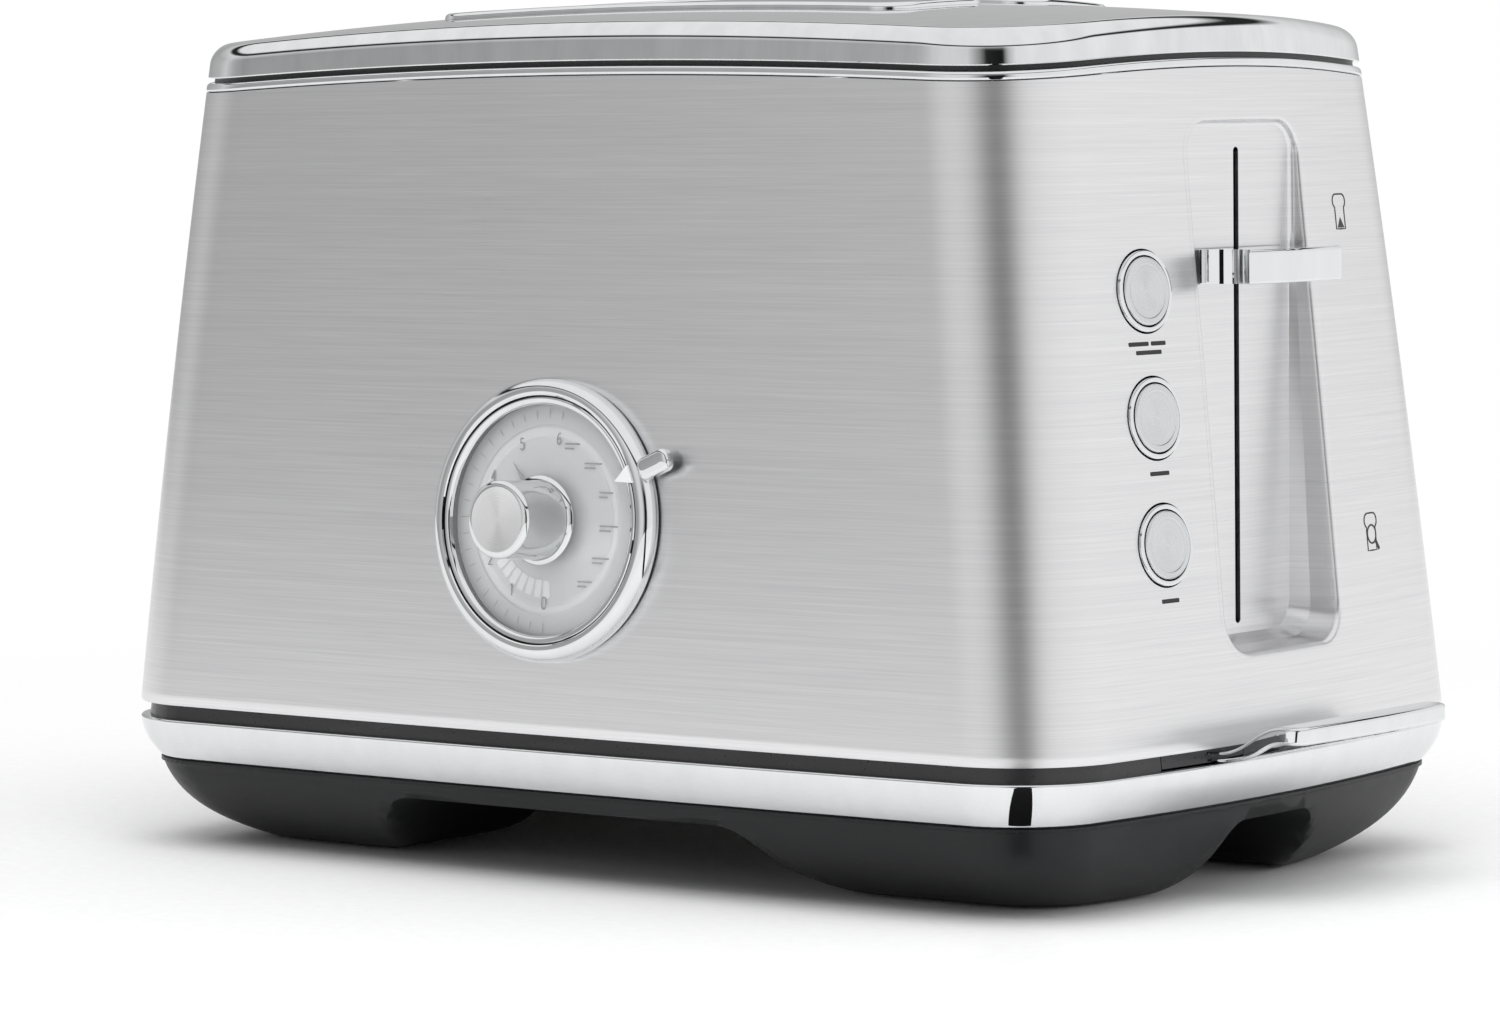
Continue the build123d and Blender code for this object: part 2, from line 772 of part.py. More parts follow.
# Dial: sections turn about the dial's own axis, first coordinate outwards from it, second off the face
dial_axis = Axis(dial_plane.origin, dial_plane.z_dir)
dial_section = Plane(
    dial_plane.origin, x_dir=dial_plane.x_dir, z_dir=dial_plane.x_dir.cross(dial_plane.z_dir)
)
neck_inner = neck_radius - cup_wall
lens_top = lens_rise + lens_wall
cup_floor = 1.5
shaft_hole = shaft_radius + 0.4


def round_spot(angle, radius):
    """Place on the dial: angle clockwise from the top, as seen from in front, and radius."""
    return (radius * sin(radians(angle)), radius * cos(radians(angle)))


with BuildPart() as dial_cup:
    with BuildSketch(dial_section):
        with BuildLine():
            Polyline(
                (shaft_hole, -cup_depth),
                (neck_radius, -cup_depth),
                (neck_radius, -3.4),
                (neck_radius + 5, -3.4),
                (neck_radius + 5, -2.0),
                (neck_radius, -2.0),
                (neck_radius, lens_top),
                (neck_inner, lens_top),
                (neck_inner, face_rise - face_wall),
                (neck_inner - 2, face_rise - face_wall),
                (neck_inner - 2, -cup_depth + cup_floor),
                (shaft_hole, -cup_depth + cup_floor),
                close=True,
            )
        make_face()
    revolve(axis=dial_axis)
finish(dial_cup, "dial_cup")

# Printed dial face, with a shallow raised ring round its middle
with BuildPart() as dial_face:
    with BuildSketch(dial_plane.offset(face_rise - face_wall)):
        Circle(neck_inner - 0.1)
        Circle(shaft_hole + 0.2, mode=Mode.SUBTRACT)
    extrude(amount=face_wall)
finish(dial_face, "dial_face")

# Light blocks that count down the toasting time
with BuildPart() as light_blocks:
    with BuildSketch(dial_plane.offset(face_rise)):
        for step in range(light_count):
            angle = light_first + step * light_step
            with Locations(Location(round_spot(angle, light_radius), -angle)):
                RectangleRounded(light_width, light_height, 0.3)
    extrude(amount=0.15)
finish(light_blocks, "light_blocks")

# Clear cover over the face
with BuildPart() as dial_lens:
    with BuildSketch(dial_plane.offset(lens_rise)):
        Circle(neck_inner - 0.1)
        Circle(shaft_hole, mode=Mode.SUBTRACT)
    extrude(amount=lens_wall)
finish(dial_lens, "dial_lens")

# Fixed lip that holds the cover down
lip_top = lens_top + lip_wall
with BuildPart() as dial_lip:
    with BuildSketch(dial_section):
        with BuildLine():
            Line((neck_inner - 0.7, lens_top), (neck_radius - 0.3, lens_top))
            Line((neck_radius - 0.3, lens_top), (neck_radius - 0.3, lip_top))
            Line((neck_radius - 0.3, lip_top), (neck_inner + 0.1, lip_top))
            Line((neck_inner + 0.1, lip_top), (neck_inner - 0.7, lens_top))
        make_face()
    revolve(axis=dial_axis)
finish(dial_lip, "dial_lip")

# Selector ring: a polished ring that turns on the cup's neck, with a thumb tab
ring_bore = neck_radius + ring_clearance
ring_shelf = lip_top + part_gap
with BuildPart() as selector_ring:
    with BuildSketch(dial_section):
        with BuildLine():
            Polyline(
                (ring_radius, 2.2),
                (ring_radius - 0.6, ring_lift),
                (ring_bore, ring_lift),
                (ring_bore, ring_shelf),
                (ring_bore + 0.8, ring_shelf),
            )
            ThreePointArc(
                (ring_bore + 0.8, ring_shelf), (ring_radius - 1.1, ring_shelf - 0.7), (ring_radius, 2.2)
            )
        make_face()
    revolve(axis=dial_axis)
    with BuildSketch(dial_plane.offset(2.0)):
        with Locations(Location(round_spot(tab_angle, ring_radius + tab_reach / 2 - 1), -tab_angle)):
            RectangleRounded(tab_width, tab_reach + 2, 1.6)
    extrude(amount=2.8)
finish(selector_ring, "selector_ring")

# White pointer on the ring's inner edge
with BuildPart() as selector_pointer:
    with BuildSketch(dial_plane.offset(ring_shelf)):
        with BuildLine():
            Polyline(
                round_spot(tab_angle, neck_radius - 4.2),
                round_spot(tab_angle - 4.2, ring_bore + 0.6),
                round_spot(tab_angle + 4.2, ring_bore + 0.6),
                close=True,
            )
        make_face()
    extrude(amount=0.35)
finish(selector_pointer, "selector_pointer")

# Darkness knob: a turned metal cup on a shaft
shaft_end = -cup_depth - shaft_drop
shaft_tip = 12.0
with BuildPart() as darkness_knob:
    with BuildSketch(dial_section):
        with BuildLine():
            Polyline(
                (shaft_radius, knob_base),
                (knob_collar, knob_base),
                (knob_collar, knob_base + 0.7),
                (knob_radius, knob_base + 1.3),
                (knob_radius - 0.2, knob_rise - 0.8),
                (knob_radius - knob_edge, knob_rise),
                (0, knob_rise - 0.35),
                (0, shaft_tip),
                (shaft_radius, shaft_tip),
                (shaft_radius, knob_base),
            )
        make_face()
    revolve(axis=dial_axis)
finish(darkness_knob, "darkness_knob")

with BuildPart() as knob_shaft:
    with BuildSketch(dial_plane.offset(shaft_end)):
        Circle(shaft_radius)
    extrude(amount=shaft_tip - shaft_end)
finish(knob_shaft, "knob_shaft")

# Needle that turns with the knob between the face and the cover
needle_rise = face_rise + 0.5
with BuildPart() as dial_needle:
    with BuildSketch(dial_plane.offset(needle_rise)):
        Circle(needle_hub)
        with BuildLine():
            Polyline(
                round_spot(-needle_angle, needle_reach),
                round_spot(-needle_angle - needle_spread, needle_hub - 0.5),
                round_spot(-needle_angle + needle_spread, needle_hub - 0.5),
                close=True,
            )
        make_face()
        Circle(shaft_radius, mode=Mode.SUBTRACT)
    extrude(amount=needle_wall)
finish(dial_needle, "dial_needle")

# Control board on the back of the cup, and the turn sensor that the shaft ends in
board_back = -cup_depth - board_wall
with BuildPart() as dial_board:
    with BuildSketch(dial_plane.offset(board_back)):
        RectangleRounded(2 * (ring_radius - board_inset), 2 * (ring_radius + board_over), 3)
        Circle(shaft_hole, mode=Mode.SUBTRACT)
    extrude(amount=board_wall)
finish(dial_board, "dial_board")

with BuildPart() as turn_sensor:
    with BuildSketch(dial_plane.offset(shaft_end - 1.5)):
        RectangleRounded(sensor_size, sensor_size, 2)
    extrude(amount=board_back - shaft_end + 1.5)
    with BuildSketch(dial_plane.offset(shaft_end - part_gap)):
        Circle(shaft_radius + 0.05)
    extrude(amount=20, mode=Mode.SUBTRACT)
finish(turn_sensor, "turn_sensor")

# Buttons: three caps in rings on the +X face, each with its stem over a switch
button_inner = button_ring - button_ring_wall
cap_radius = button_inner - button_gap
button_spots = [(0, height) for height in button_heights]
button_skirt = carrier_depth - button_travel - part_gap
stem_end = -(carrier_depth + carrier_wall + 1.7)
switch_top = stem_end - button_travel - part_gap
board_top = switch_top - switch_height
with BuildPart() as button_rings:
    with BuildSketch(button_plane.offset(-carrier_depth)):
        with Locations(*button_spots):
            Circle(button_ring)
            Circle(button_inner, mode=Mode.SUBTRACT)
    extrude(amount=carrier_depth + 0.7)
finish(button_rings, "button_rings")

for name, spot in zip(("button_upper", "button_middle", "button_lower"), button_spots):
    with BuildPart() as button:
        with BuildSketch(button_plane.offset(-button_skirt)):
            with Locations(spot):
                Circle(cap_radius)
        extrude(amount=button_skirt + button_rise)
        fillet(button.faces().sort_by(Axis(button_plane.origin, button_plane.z_dir))[-1].edges(), 0.5)
        with BuildSketch(button_plane.offset(stem_end)):
            with Locations(spot):
                Circle(button_stem)
        extrude(amount=carrier_depth)
    finish(button, name)

post_x = carrier_half - 4
post_spots = [(x, y) for x in (-post_x, post_x) for y in (-button_pitch / 2, button_pitch / 2)]
with BuildPart() as button_carrier:
    with BuildSketch(button_plane.offset(-carrier_depth - carrier_wall)):
        RectangleRounded(2 * carrier_half, 2 * (button_pitch + carrier_half), carrier_half - 1)
        with Locations(*button_spots):
            Circle(button_stem + 0.4, mode=Mode.SUBTRACT)
    extrude(amount=carrier_wall)
    with BuildSketch(button_plane.offset(board_top)):
        with Locations(*post_spots):
            Circle(2)
    extrude(amount=-carrier_depth - carrier_wall - board_top)
finish(button_carrier, "button_carrier")

with BuildPart() as button_board:
    with BuildSketch(button_plane.offset(board_top - board_wall)):
        RectangleRounded(2 * (carrier_half - 1), 2 * (button_pitch + carrier_half - 2), 3)
    extrude(amount=board_wall)
finish(button_board, "button_board")

with BuildPart() as button_switches:
    with BuildSketch(button_plane.offset(board_top)):
        with Locations(*button_spots):
            Rectangle(switch_size, switch_size)
    extrude(amount=switch_height - 1)
    with BuildSketch(button_plane.offset(switch_top - 1)):
        with Locations(*button_spots):
            Circle(1.7)
    extrude(amount=1)
finish(button_switches, "button_switches")

# Lever knob: a casting with a flange that follows the recess, a waist and a full front edge
arm_neck = 6.0
arm_socket_x = lever_back_x + 7.4
lever_mid_x = (lever_back_x + lever_flange + lever_front_x) / 2
corner_x = lever_front_x - 1.4
with BuildPart() as lever_knob:
    with BuildSketch(Plane.XY.offset(lever_z - lever_height / 2)):
        with BuildLine() as half:
            Line((lever_back_x, 0), (lever_back_x, -lever_wing))
            Line((lever_back_x, -lever_wing), (lever_back_x + lever_flange, -lever_wing))
            ThreePointArc(
                (lever_back_x + lever_flange, -lever_wing),
                (lever_mid_x, -lever_waist - 1.6),
                (corner_x, -lever_front_half),
            )
            ThreePointArc(
                (corner_x, -lever_front_half),
                (lever_front_x - 0.4, -lever_front_half / 2),
                (lever_front_x, 0),
            )
            mirror(about=Plane.XZ)
        make_face()
    extrude(amount=lever_height)
    front_corners = lever_knob.edges().filter_by(Axis.Z).sort_by(Axis.X)[-2:]
    fillet(front_corners, 1.2)
    fillet(lever_knob.faces().sort_by(Axis.Z)[-1].edges().sort_by(Axis.X)[-3:], 0.9)
    fillet(lever_knob.faces().sort_by(Axis.Z)[0].edges().sort_by(Axis.X)[-3:], 0.9)
    with BuildSketch(Plane.XZ):
        with Locations((arm_socket_x - 10, lever_z)):
            Rectangle(20, arm_neck)
    extrude(amount=arm_thickness / 2, both=True, mode=Mode.SUBTRACT)
finish(lever_knob, "lever_knob")

# Lever arm: a flat bar from the carriage through the slot to the knob
arm_start = bracket_x + bracket_wall
arm_step_x = recess_floor_x - 6
with BuildPart() as lever_arm:
    with BuildSketch(Plane.XZ):
        with BuildLine():
            Polyline(
                (arm_start, lever_z - arm_height / 2),
                (arm_step_x, lever_z - arm_height / 2),
                (arm_step_x + 2, lever_z - arm_neck / 2),
                (arm_socket_x, lever_z - arm_neck / 2),
                (arm_socket_x, lever_z + arm_neck / 2),
                (arm_step_x + 2, lever_z + arm_neck / 2),
                (arm_step_x, lever_z + arm_height / 2),
                (arm_start, lever_z + arm_height / 2),
                close=True,
            )
        make_face()
    extrude(amount=arm_thickness / 2, both=True)
finish(lever_arm, "lever_arm")

# Carriage bracket: a plate with two bushes that run on the guide rods
bracket_low = lever_z - bracket_below
bracket_high = lever_z + arm_height / 2
bush_low = bracket_low + 1
bush_length = bracket_high - bush_low - 3
rod_spots = [(rod_x, -rod_y), (rod_x, rod_y)]
bush_radius = rod_radius + rod_clearance + bush_wall
with BuildPart() as carriage_bracket:
    with BuildSketch(Plane.YZ.offset(bracket_x)):
        with Locations((0, (bracket_low + bracket_high) / 2)):
            RectangleRounded(2 * bracket_half, bracket_high - bracket_low, 4)
        with Locations((-rod_y / 2, bracket_high - 18), (rod_y / 2, bracket_high - 18)):
            Circle(5, mode=Mode.SUBTRACT)
    extrude(amount=bracket_wall)
    with BuildSketch(Plane.XY.offset(bush_low)):
        with Locations(*rod_spots):
            Circle(bush_radius)
        with Locations(*[((arm_start + rod_x) / 2, y) for _, y in rod_spots]):
            Rectangle(rod_x - arm_start, 3)
        with Locations(*rod_spots):
            Circle(rod_radius + rod_clearance, mode=Mode.SUBTRACT)
    extrude(amount=bush_length)
finish(carriage_bracket, "carriage_bracket")

# Bread racks, one in each slot: a web that runs through the chamber ends, under a narrow flange
rack_reach = chamber_half + plate_wall + 3
for name, y in zip(("rack_front", "rack_rear"), slot_places):
    with BuildPart() as rack:
        with BuildSketch(Plane.XZ.offset(-y)):
            with BuildLine():
                Polyline(
                    (-rack_reach, rack_top_z - rack_web),
                    (bracket_x, rack_top_z - rack_web),
                    (bracket_x, rack_top_z - rack_flange_wall),
                    (-rack_reach, rack_top_z - rack_flange_wall),
                    close=True,
                )
            make_face()
            with Locations(*[(x, rack_top_z - rack_web / 2 - 1) for x in range(-60, 61, 20)]):
                SlotOverall(12, 4, mode=Mode.SUBTRACT)
        extrude(amount=rack_web_wall / 2, both=True)
        with BuildSketch(Plane.XY.offset(rack_top_z - rack_flange_wall)):
            with Locations((0, y)):
                RectangleRounded(slot_length - 4, rack_flange, 2)
        extrude(amount=rack_flange_wall)
    finish(rack, name)

# Guide rods between the chassis plate and the top frame
with BuildPart() as guide_rods:
    with BuildSketch(Plane.XY.offset(chassis_top)):
        with Locations(*rod_spots):
            Circle(rod_radius)
    extrude(amount=top_frame_z - chassis_top)
finish(guide_rods, "guide_rods")

# Coil spring that lifts the carriage, hooked between the arm and the top frame
spring_low = lever_z + arm_height / 2 + spring_wire + 0.1
spring_high = top_frame_z - spring_wire - 0.1
with BuildPart() as carriage_spring:
    with BuildLine(Plane((rod_x, 0, spring_low))) as coil:
        Helix((spring_high - spring_low) / spring_turns, spring_high - spring_low, spring_radius)
    with BuildSketch(coil.line ^ 0):
        RegularPolygon(spring_wire, 6)
    sweep(path=coil.line, is_frenet=True)
finish(carriage_spring, "carriage_spring")

# Latch: a steel plate under the arm, and the electromagnet that holds it at the bottom
latch_x = recess_floor_x - latch_stand
latch_low = lever_z - arm_height / 2 - latch_wall
pole_top = latch_low - carriage_drop - part_gap
with BuildPart() as latch_plate:
    with BuildSketch(Plane.XY.offset(latch_low)):
        with Locations((latch_x, 0)):
            RectangleRounded(latch_length, latch_width, 1.5)
    extrude(amount=latch_wall)
finish(latch_plate, "latch_plate")

with BuildPart() as magnet_core:
    with BuildSketch(Plane.XY.offset(chassis_top)):
        with Locations((latch_x, 0)):
            RectangleRounded(9, 2 * coil_radius, 1)
    extrude(amount=core_foot)
    with BuildSketch(Plane.XY.offset(chassis_top)):
        with Locations((latch_x, 0)):
            Circle(core_radius)
    extrude(amount=pole_top - chassis_top)
finish(magnet_core, "magnet_core")

coil_low = chassis_top + core_foot
coil_high = pole_top - 2
coil_bore = core_radius + 0.1
coil_wound = coil_radius - coil_flange
with BuildPart() as magnet_coil:
    with BuildSketch(Plane.XZ):
        with BuildLine():
            Polyline(
                (latch_x + coil_bore, coil_low),
                (latch_x + coil_radius, coil_low),
                (latch_x + coil_radius, coil_low + coil_flange),
                (latch_x + coil_wound, coil_low + coil_flange),
                (latch_x + coil_wound, coil_high - coil_flange),
                (latch_x + coil_radius, coil_high - coil_flange),
                (latch_x + coil_radius, coil_high),
                (latch_x + coil_bore, coil_high),
                close=True,
            )
        make_face()
    revolve(axis=Axis((latch_x, 0, 0), (0, 0, 1)))
finish(magnet_coil, "magnet_coil")

# Chamber: end plates with the racks' slots, side plates, and a top frame under the lid
rack_slot_low = rack_top_z - rack_web - carriage_drop - 2
rack_slot_high = rack_top_z + carriage_lift + 3
chamber_mid_z = (chassis_top + top_frame_z) / 2
with BuildPart() as chamber_ends:
    for x in (-chamber_half - plate_wall, chamber_half):
        with BuildSketch(Plane.YZ.offset(x)):
            with Locations((0, chamber_mid_z)):
                Rectangle(2 * chamber_side, top_frame_z - chassis_top)
            with Locations(*[(y, (rack_slot_low + rack_slot_high) / 2) for y in slot_places]):
                Rectangle(rack_web_wall + 2, rack_slot_high - rack_slot_low, mode=Mode.SUBTRACT)
            with Locations((0, chamber_mid_z)):
                with GridLocations(chamber_side - 7, 25, 3, 5):
                    SlotOverall(16, plate_vent, rotation=90, mode=Mode.SUBTRACT)
        extrude(amount=plate_wall)
finish(chamber_ends, "chamber_ends")

with BuildPart() as chamber_sides:
    for y in (-chamber_side, chamber_side - plate_wall):
        with BuildSketch(Plane.XZ.offset(-y)):
            with Locations((0, chamber_mid_z)):
                Rectangle(2 * chamber_half, top_frame_z - chassis_top)
                with GridLocations((chamber_half - 22) / 2, top_frame_z - chassis_top - 48, 5, 2):
                    SlotOverall(20, plate_vent, mode=Mode.SUBTRACT)
        extrude(amount=-plate_wall)
finish(chamber_sides, "chamber_sides")

with BuildPart() as top_frame:
    with BuildSketch(Plane.XY.offset(top_frame_z)) as frame_outline:
        RectangleRounded(
            2 * (corner_x_high - frame_inset_x), 2 * (corner_y_high - frame_inset_y), chassis_corner
        )
        with Locations(*[(0, y) for y in slot_places]):
            RectangleRounded(slot_length + 8, slot_width + 8, slot_corner, mode=Mode.SUBTRACT)
    extrude(amount=plate_wall)
finish(top_frame, "top_frame")

# Heater cards of mica, one each side of each slot, and the flat wire wound on them
heater_places = [(y, side) for y in slot_places for side in (-1, 1)]
with BuildPart() as heater_cards:
    for y, side in heater_places:
        with Locations((0, y + side * (heater_offset + heater_wall / 2), (heater_low + heater_high) / 2)):
            Box(2 * chamber_half - 0.4, heater_wall, heater_high - heater_low)
finish(heater_cards, "heater_cards")

ribbon_pitch = (heater_high - heater_low - 12) / (ribbon_count - 1)
with BuildPart() as heater_ribbons:
    for y, side in heater_places:
        with Locations(
            *[
                (0, y + side * (heater_offset - ribbon_wall / 2), heater_low + 6 + row * ribbon_pitch)
                for row in range(ribbon_count)
            ]
        ):
            Box(2 * chamber_half - 14, ribbon_wall, ribbon_width)
finish(heater_ribbons, "heater_ribbons")

# Bread guides: wire grids that close on the bread as the carriage goes down
guide_names = ("guide_front_outer", "guide_front_inner", "guide_rear_inner", "guide_rear_outer")
guide_places = [y + side * guide_offset for y in slot_places for side in (-1, 1)]
guide_half = chamber_half - part_gap
guide_pitch = (slot_length - 2 * guide_end) / (guide_count - 1)
for name, y in zip(guide_names, guide_places):
    with BuildPart() as guide:
        with BuildSketch(Plane.YZ.offset(-guide_half)):
            with Locations((y, guide_low), (y, guide_high)):
                Circle(guide_wire)
        extrude(amount=2 * guide_half)
        with BuildSketch(Plane.XY.offset(guide_low)):
            with Locations(
                *[(-slot_length / 2 + guide_end + row * guide_pitch, y) for row in range(guide_count)]
            ):
                Circle(guide_upright)
        extrude(amount=guide_high - guide_low)
    finish(guide, name)

# Supply side in the -X end: board, its large parts, and the terminal block
with BuildPart() as power_board:
    with Locations((supply_x, 0, chassis_top)):
        Box(board_wall, 2 * supply_half, supply_height, align=(Align.CENTER, Align.CENTER, Align.MIN))
finish(power_board, "power_board")

part_face = supply_x - board_wall / 2
upper_row = chassis_top + 0.66 * supply_height
lower_row = chassis_top + 0.28 * supply_height
with BuildPart() as power_parts:
    with Locations((part_face, -0.52 * supply_half, upper_row)):
        Box(16, 19, 15, align=(Align.MAX, Align.CENTER, Align.CENTER))
    with Locations((part_face, 0.38 * supply_half, upper_row)):
        Box(18, 28, 24, align=(Align.MAX, Align.CENTER, Align.CENTER))
    with Locations((part_face, -0.48 * supply_half, lower_row)):
        Box(14, 26, 12, align=(Align.MAX, Align.CENTER, Align.CENTER))
    with BuildSketch(Plane.YZ.offset(part_face)):
        with Locations((0.33 * supply_half, lower_row), (0.67 * supply_half, lower_row)):
            Circle(5)
    extrude(amount=-15)
finish(power_parts, "power_parts")

terminal_x = supply_x - 8
with BuildPart() as terminal_block:
    with Locations((terminal_x, supply_half, chassis_top)):
        Box(14, 24, 12, align=(Align.CENTER, Align.CENTER, Align.MIN))
    with Locations(*[(terminal_x, supply_half + step, chassis_top + 12) for step in (-8, 0, 8)]):
        Hole(2.2, depth=6)
finish(terminal_block, "terminal_block")

# Switch that the carriage works at the bottom of its travel
with BuildPart() as carriage_switch:
    with Locations((bracket_x + 12, bracket_half + 8, chassis_top)):
        Box(20, 7, 11, align=(Align.CENTER, Align.CENTER, Align.MIN))
    with Locations((bracket_x + 6, bracket_half + 8, chassis_top + 11)):
        Box(3, 3, 1.5, align=(Align.CENTER, Align.CENTER, Align.MIN))
finish(carriage_switch, "carriage_switch")
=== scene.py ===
import math

import bmesh
import bpy
import numpy as np
from mathutils import Matrix, Vector


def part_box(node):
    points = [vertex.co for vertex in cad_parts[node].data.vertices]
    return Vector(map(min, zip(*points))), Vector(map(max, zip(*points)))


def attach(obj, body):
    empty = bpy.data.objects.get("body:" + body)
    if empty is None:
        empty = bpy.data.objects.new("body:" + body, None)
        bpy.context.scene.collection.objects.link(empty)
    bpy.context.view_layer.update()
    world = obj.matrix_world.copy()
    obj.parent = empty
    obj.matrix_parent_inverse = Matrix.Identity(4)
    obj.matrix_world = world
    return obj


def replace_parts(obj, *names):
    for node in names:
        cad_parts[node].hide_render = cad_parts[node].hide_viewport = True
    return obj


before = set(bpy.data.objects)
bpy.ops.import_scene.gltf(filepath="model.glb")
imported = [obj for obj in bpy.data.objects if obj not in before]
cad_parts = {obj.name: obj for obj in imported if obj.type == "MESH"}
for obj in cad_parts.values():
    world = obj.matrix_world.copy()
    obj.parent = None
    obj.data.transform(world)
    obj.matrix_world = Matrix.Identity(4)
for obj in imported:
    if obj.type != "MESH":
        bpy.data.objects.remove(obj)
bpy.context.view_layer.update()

# Shapes are worked out in millimetres about the body's middle, and set into the frame's metres at the end
MM = 0.001
MERGE = 2e-7
shell_box = [np.array(corner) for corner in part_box("outer_shell")]
body_middle = np.array([*((shell_box[0] + shell_box[1]) / 2)[:2], 0.0])

# Leaning shell
SHELL_BOTTOM = 36.7
SEAM_APEX = 197.8
CORNER_X = (144.3, 128.8)
CORNER_Y = (93.0, 80.1)
CORNER_RADIUS = (27.5, 29.9)
END_BOW = 8.1
SIDE_BOW = 2.2
SIDE_BULGE = 0.5
SHELL_WALL = 1.0
SEAM_RADIUS = (2160.0, 740.0)

# Lid
BEAD_HEIGHT = 2.3
GROOVE_HEIGHT = 1.2
LID_APEX = 211.0
LID_RADIUS = (1700.0, 620.0)
LID_WALL = 3.0
LID_EDGE = 4.5
SLOT_SIZE = (140.0, 34.0)
SLOT_PITCH = 54.0
SLOT_CORNER = 6.0
COLLAR_WALL = 1.4
COLLAR_LIP = 2.6
COLLAR_RISE = 1.5
COLLAR_DROP = 14.0

# Base
BAND_TOP = 33.0
BAND_BOTTOM = 22.2
BAND_SHOULDER = 28.6
BAND_GROWS = (-5.0, -0.8, 0.1)

# Recess
RECESS_FLOOR_X = 136.3
RECESS_HALF = 23.6
RECESS_Z = (58.8, 180.6)
RECESS_CORNER = 8.0
RECESS_DRAFT = math.tan(math.radians(6.0))
RECESS_ROLL = 1.5
RECESS_FILLET = 1.5
RECESS_WALL = 1.0
LEVER_SLOT_WIDTH = 2.2
LEVER_SLOT_Z = (62.3, 174.7)

# Dial
DIAL_SPOT = (1.8, 87.8)
NECK_RADIUS = 29.6
NECK_INNER = 28.2
FACE_RISE = 1.4
LENS_RISE = 2.6
LENS_TOP = 3.8
LIP_TOP = 4.8
RING_SHELF = 5.1
RING_RADIUS = 33.9
KNOB_RADIUS = 9.4
KNOB_BASE = 4.2
KNOB_RISE = 20.0
KNOB_COLLAR = 10.6
KNOB_EDGE = 1.7
SHAFT_RADIUS = 3.0
TAB_ANGLE = 67.0
TAB_REACH = 7.5
TAB_WIDTH = 5.5

# Buttons
BUTTON_Y = -45.4
BUTTON_MID_Z = 113.3
BUTTON_PITCH = 29.1
BUTTON_HOLE = 9.8
BUTTON_RING = 9.4
BUTTON_INNER = 8.2
BUTTON_CAP = 7.9
BUTTON_RISE = 1.1

# Camera, aimed at a point of the body
CAMERA_ROUND = 37.8211
CAMERA_ABOVE = 4.16676
CAMERA_ROLL = -0.66725
CAMERA_AWAY = 1391.93
CAMERA_AIM = (-5.3574, -5.0890, 83.8306)
CAMERA_LENS = 133.12


# Form of the body

def lean(z, grow=0.0):
    """Half-length, half-width and corner radius at height z: each runs straight from its base value to its
    seam value, with a parabola of SIDE_BULGE added between the two."""
    rise = (np.asarray(z, float) - SHELL_BOTTOM) / (SEAM_APEX - SHELL_BOTTOM)
    bulge = 4 * SIDE_BULGE * rise * (1 - rise)
    half_x = CORNER_X[0] + (CORNER_X[1] - CORNER_X[0]) * rise + bulge + grow
    half_y = CORNER_Y[0] + (CORNER_Y[1] - CORNER_Y[0]) * rise + bulge + grow
    radius = CORNER_RADIUS[0] + (CORNER_RADIUS[1] - CORNER_RADIUS[0]) * rise + grow
    return half_x, half_y, radius


def loop_steps(side=110, corner=26, end=72):
    """Stations round an outline, as two arrays: which of its eight arcs, and how far along that arc."""
    arcs = []
    shares = []
    for arc in range(8):
        count = (side, corner, end, corner)[arc % 4]
        start = 0.0 if arc % 2 else -1.0
        share = start + (1 - start) * np.arange(count) / count
        arcs.append(np.full(count, arc))
        shares.append(share)
    return np.concatenate(arcs), np.concatenate(shares)


def outline(steps, half_x, half_y, radius):
    """Bowed rounded rectangle. The sides are arcs whose rise over the chord is SIDE_BOW and END_BOW; each
    corner is an arc of the given radius that touches both. A station's place is its arc's centre plus the
    arc's radius along the outward direction, so the third result is that direction's angle from -Y."""
    arc, share = steps
    side_arc = (half_x**2 + SIDE_BOW**2) / (2 * SIDE_BOW)
    end_arc = (half_y**2 + END_BOW**2) / (2 * END_BOW)
    side_centre = side_arc - half_y - SIDE_BOW
    end_centre = half_x + END_BOW - end_arc
    inner_side = side_arc - radius
    inner_end = end_arc - radius
    apart = np.hypot(end_centre, side_centre)
    along = (inner_side**2 - inner_end**2 + apart**2) / (2 * apart)
    off = np.sqrt(np.maximum(inner_side**2 - along**2, 0))
    across = np.arctan2(end_centre, side_centre)
    corner_x = along * np.sin(across) + off * np.cos(across)
    corner_y = side_centre - along * np.cos(across) + off * np.sin(across)
    side_turn = np.arctan2(corner_x, side_centre - corner_y)
    end_turn = np.arctan2(-corner_y, corner_x - end_centre)
    quarter = (arc // 2) * (np.pi / 2)
    odd_pair = (arc // 2) % 2 == 1
    bow_turn = np.where(odd_pair, end_turn, side_turn)
    corner_turn = np.pi / 2 - side_turn - end_turn
    on_corner = arc % 2 == 1
    angle = np.where(on_corner, quarter + bow_turn + corner_turn * share, quarter + bow_turn * share)
    sign_x = np.where((arc == 1) | (arc == 3), 1.0, -1.0)
    sign_y = np.where((arc == 1) | (arc == 7), 1.0, -1.0)
    bow_x = np.where(odd_pair, np.where(arc == 2, 1.0, -1.0) * end_centre, 0.0)
    bow_y = np.where(odd_pair, 0.0, np.where(arc == 0, 1.0, -1.0) * side_centre)
    centre_x = np.where(on_corner, sign_x * corner_x, bow_x)
    centre_y = np.where(on_corner, sign_y * corner_y, bow_y)
    reach = np.where(on_corner, radius, np.where(odd_pair, end_arc, side_arc))
    return centre_x + reach * np.sin(angle), centre_y - reach * np.cos(angle), angle


def arch(x, y, apex, radii):
    """Height of a surface arched both ways: an arc across Y carried round an arc along X."""
    across = radii[0] - (radii[1] - np.sqrt(radii[1] ** 2 - y**2))
    return apex - radii[0] + np.sqrt(across**2 - x**2)


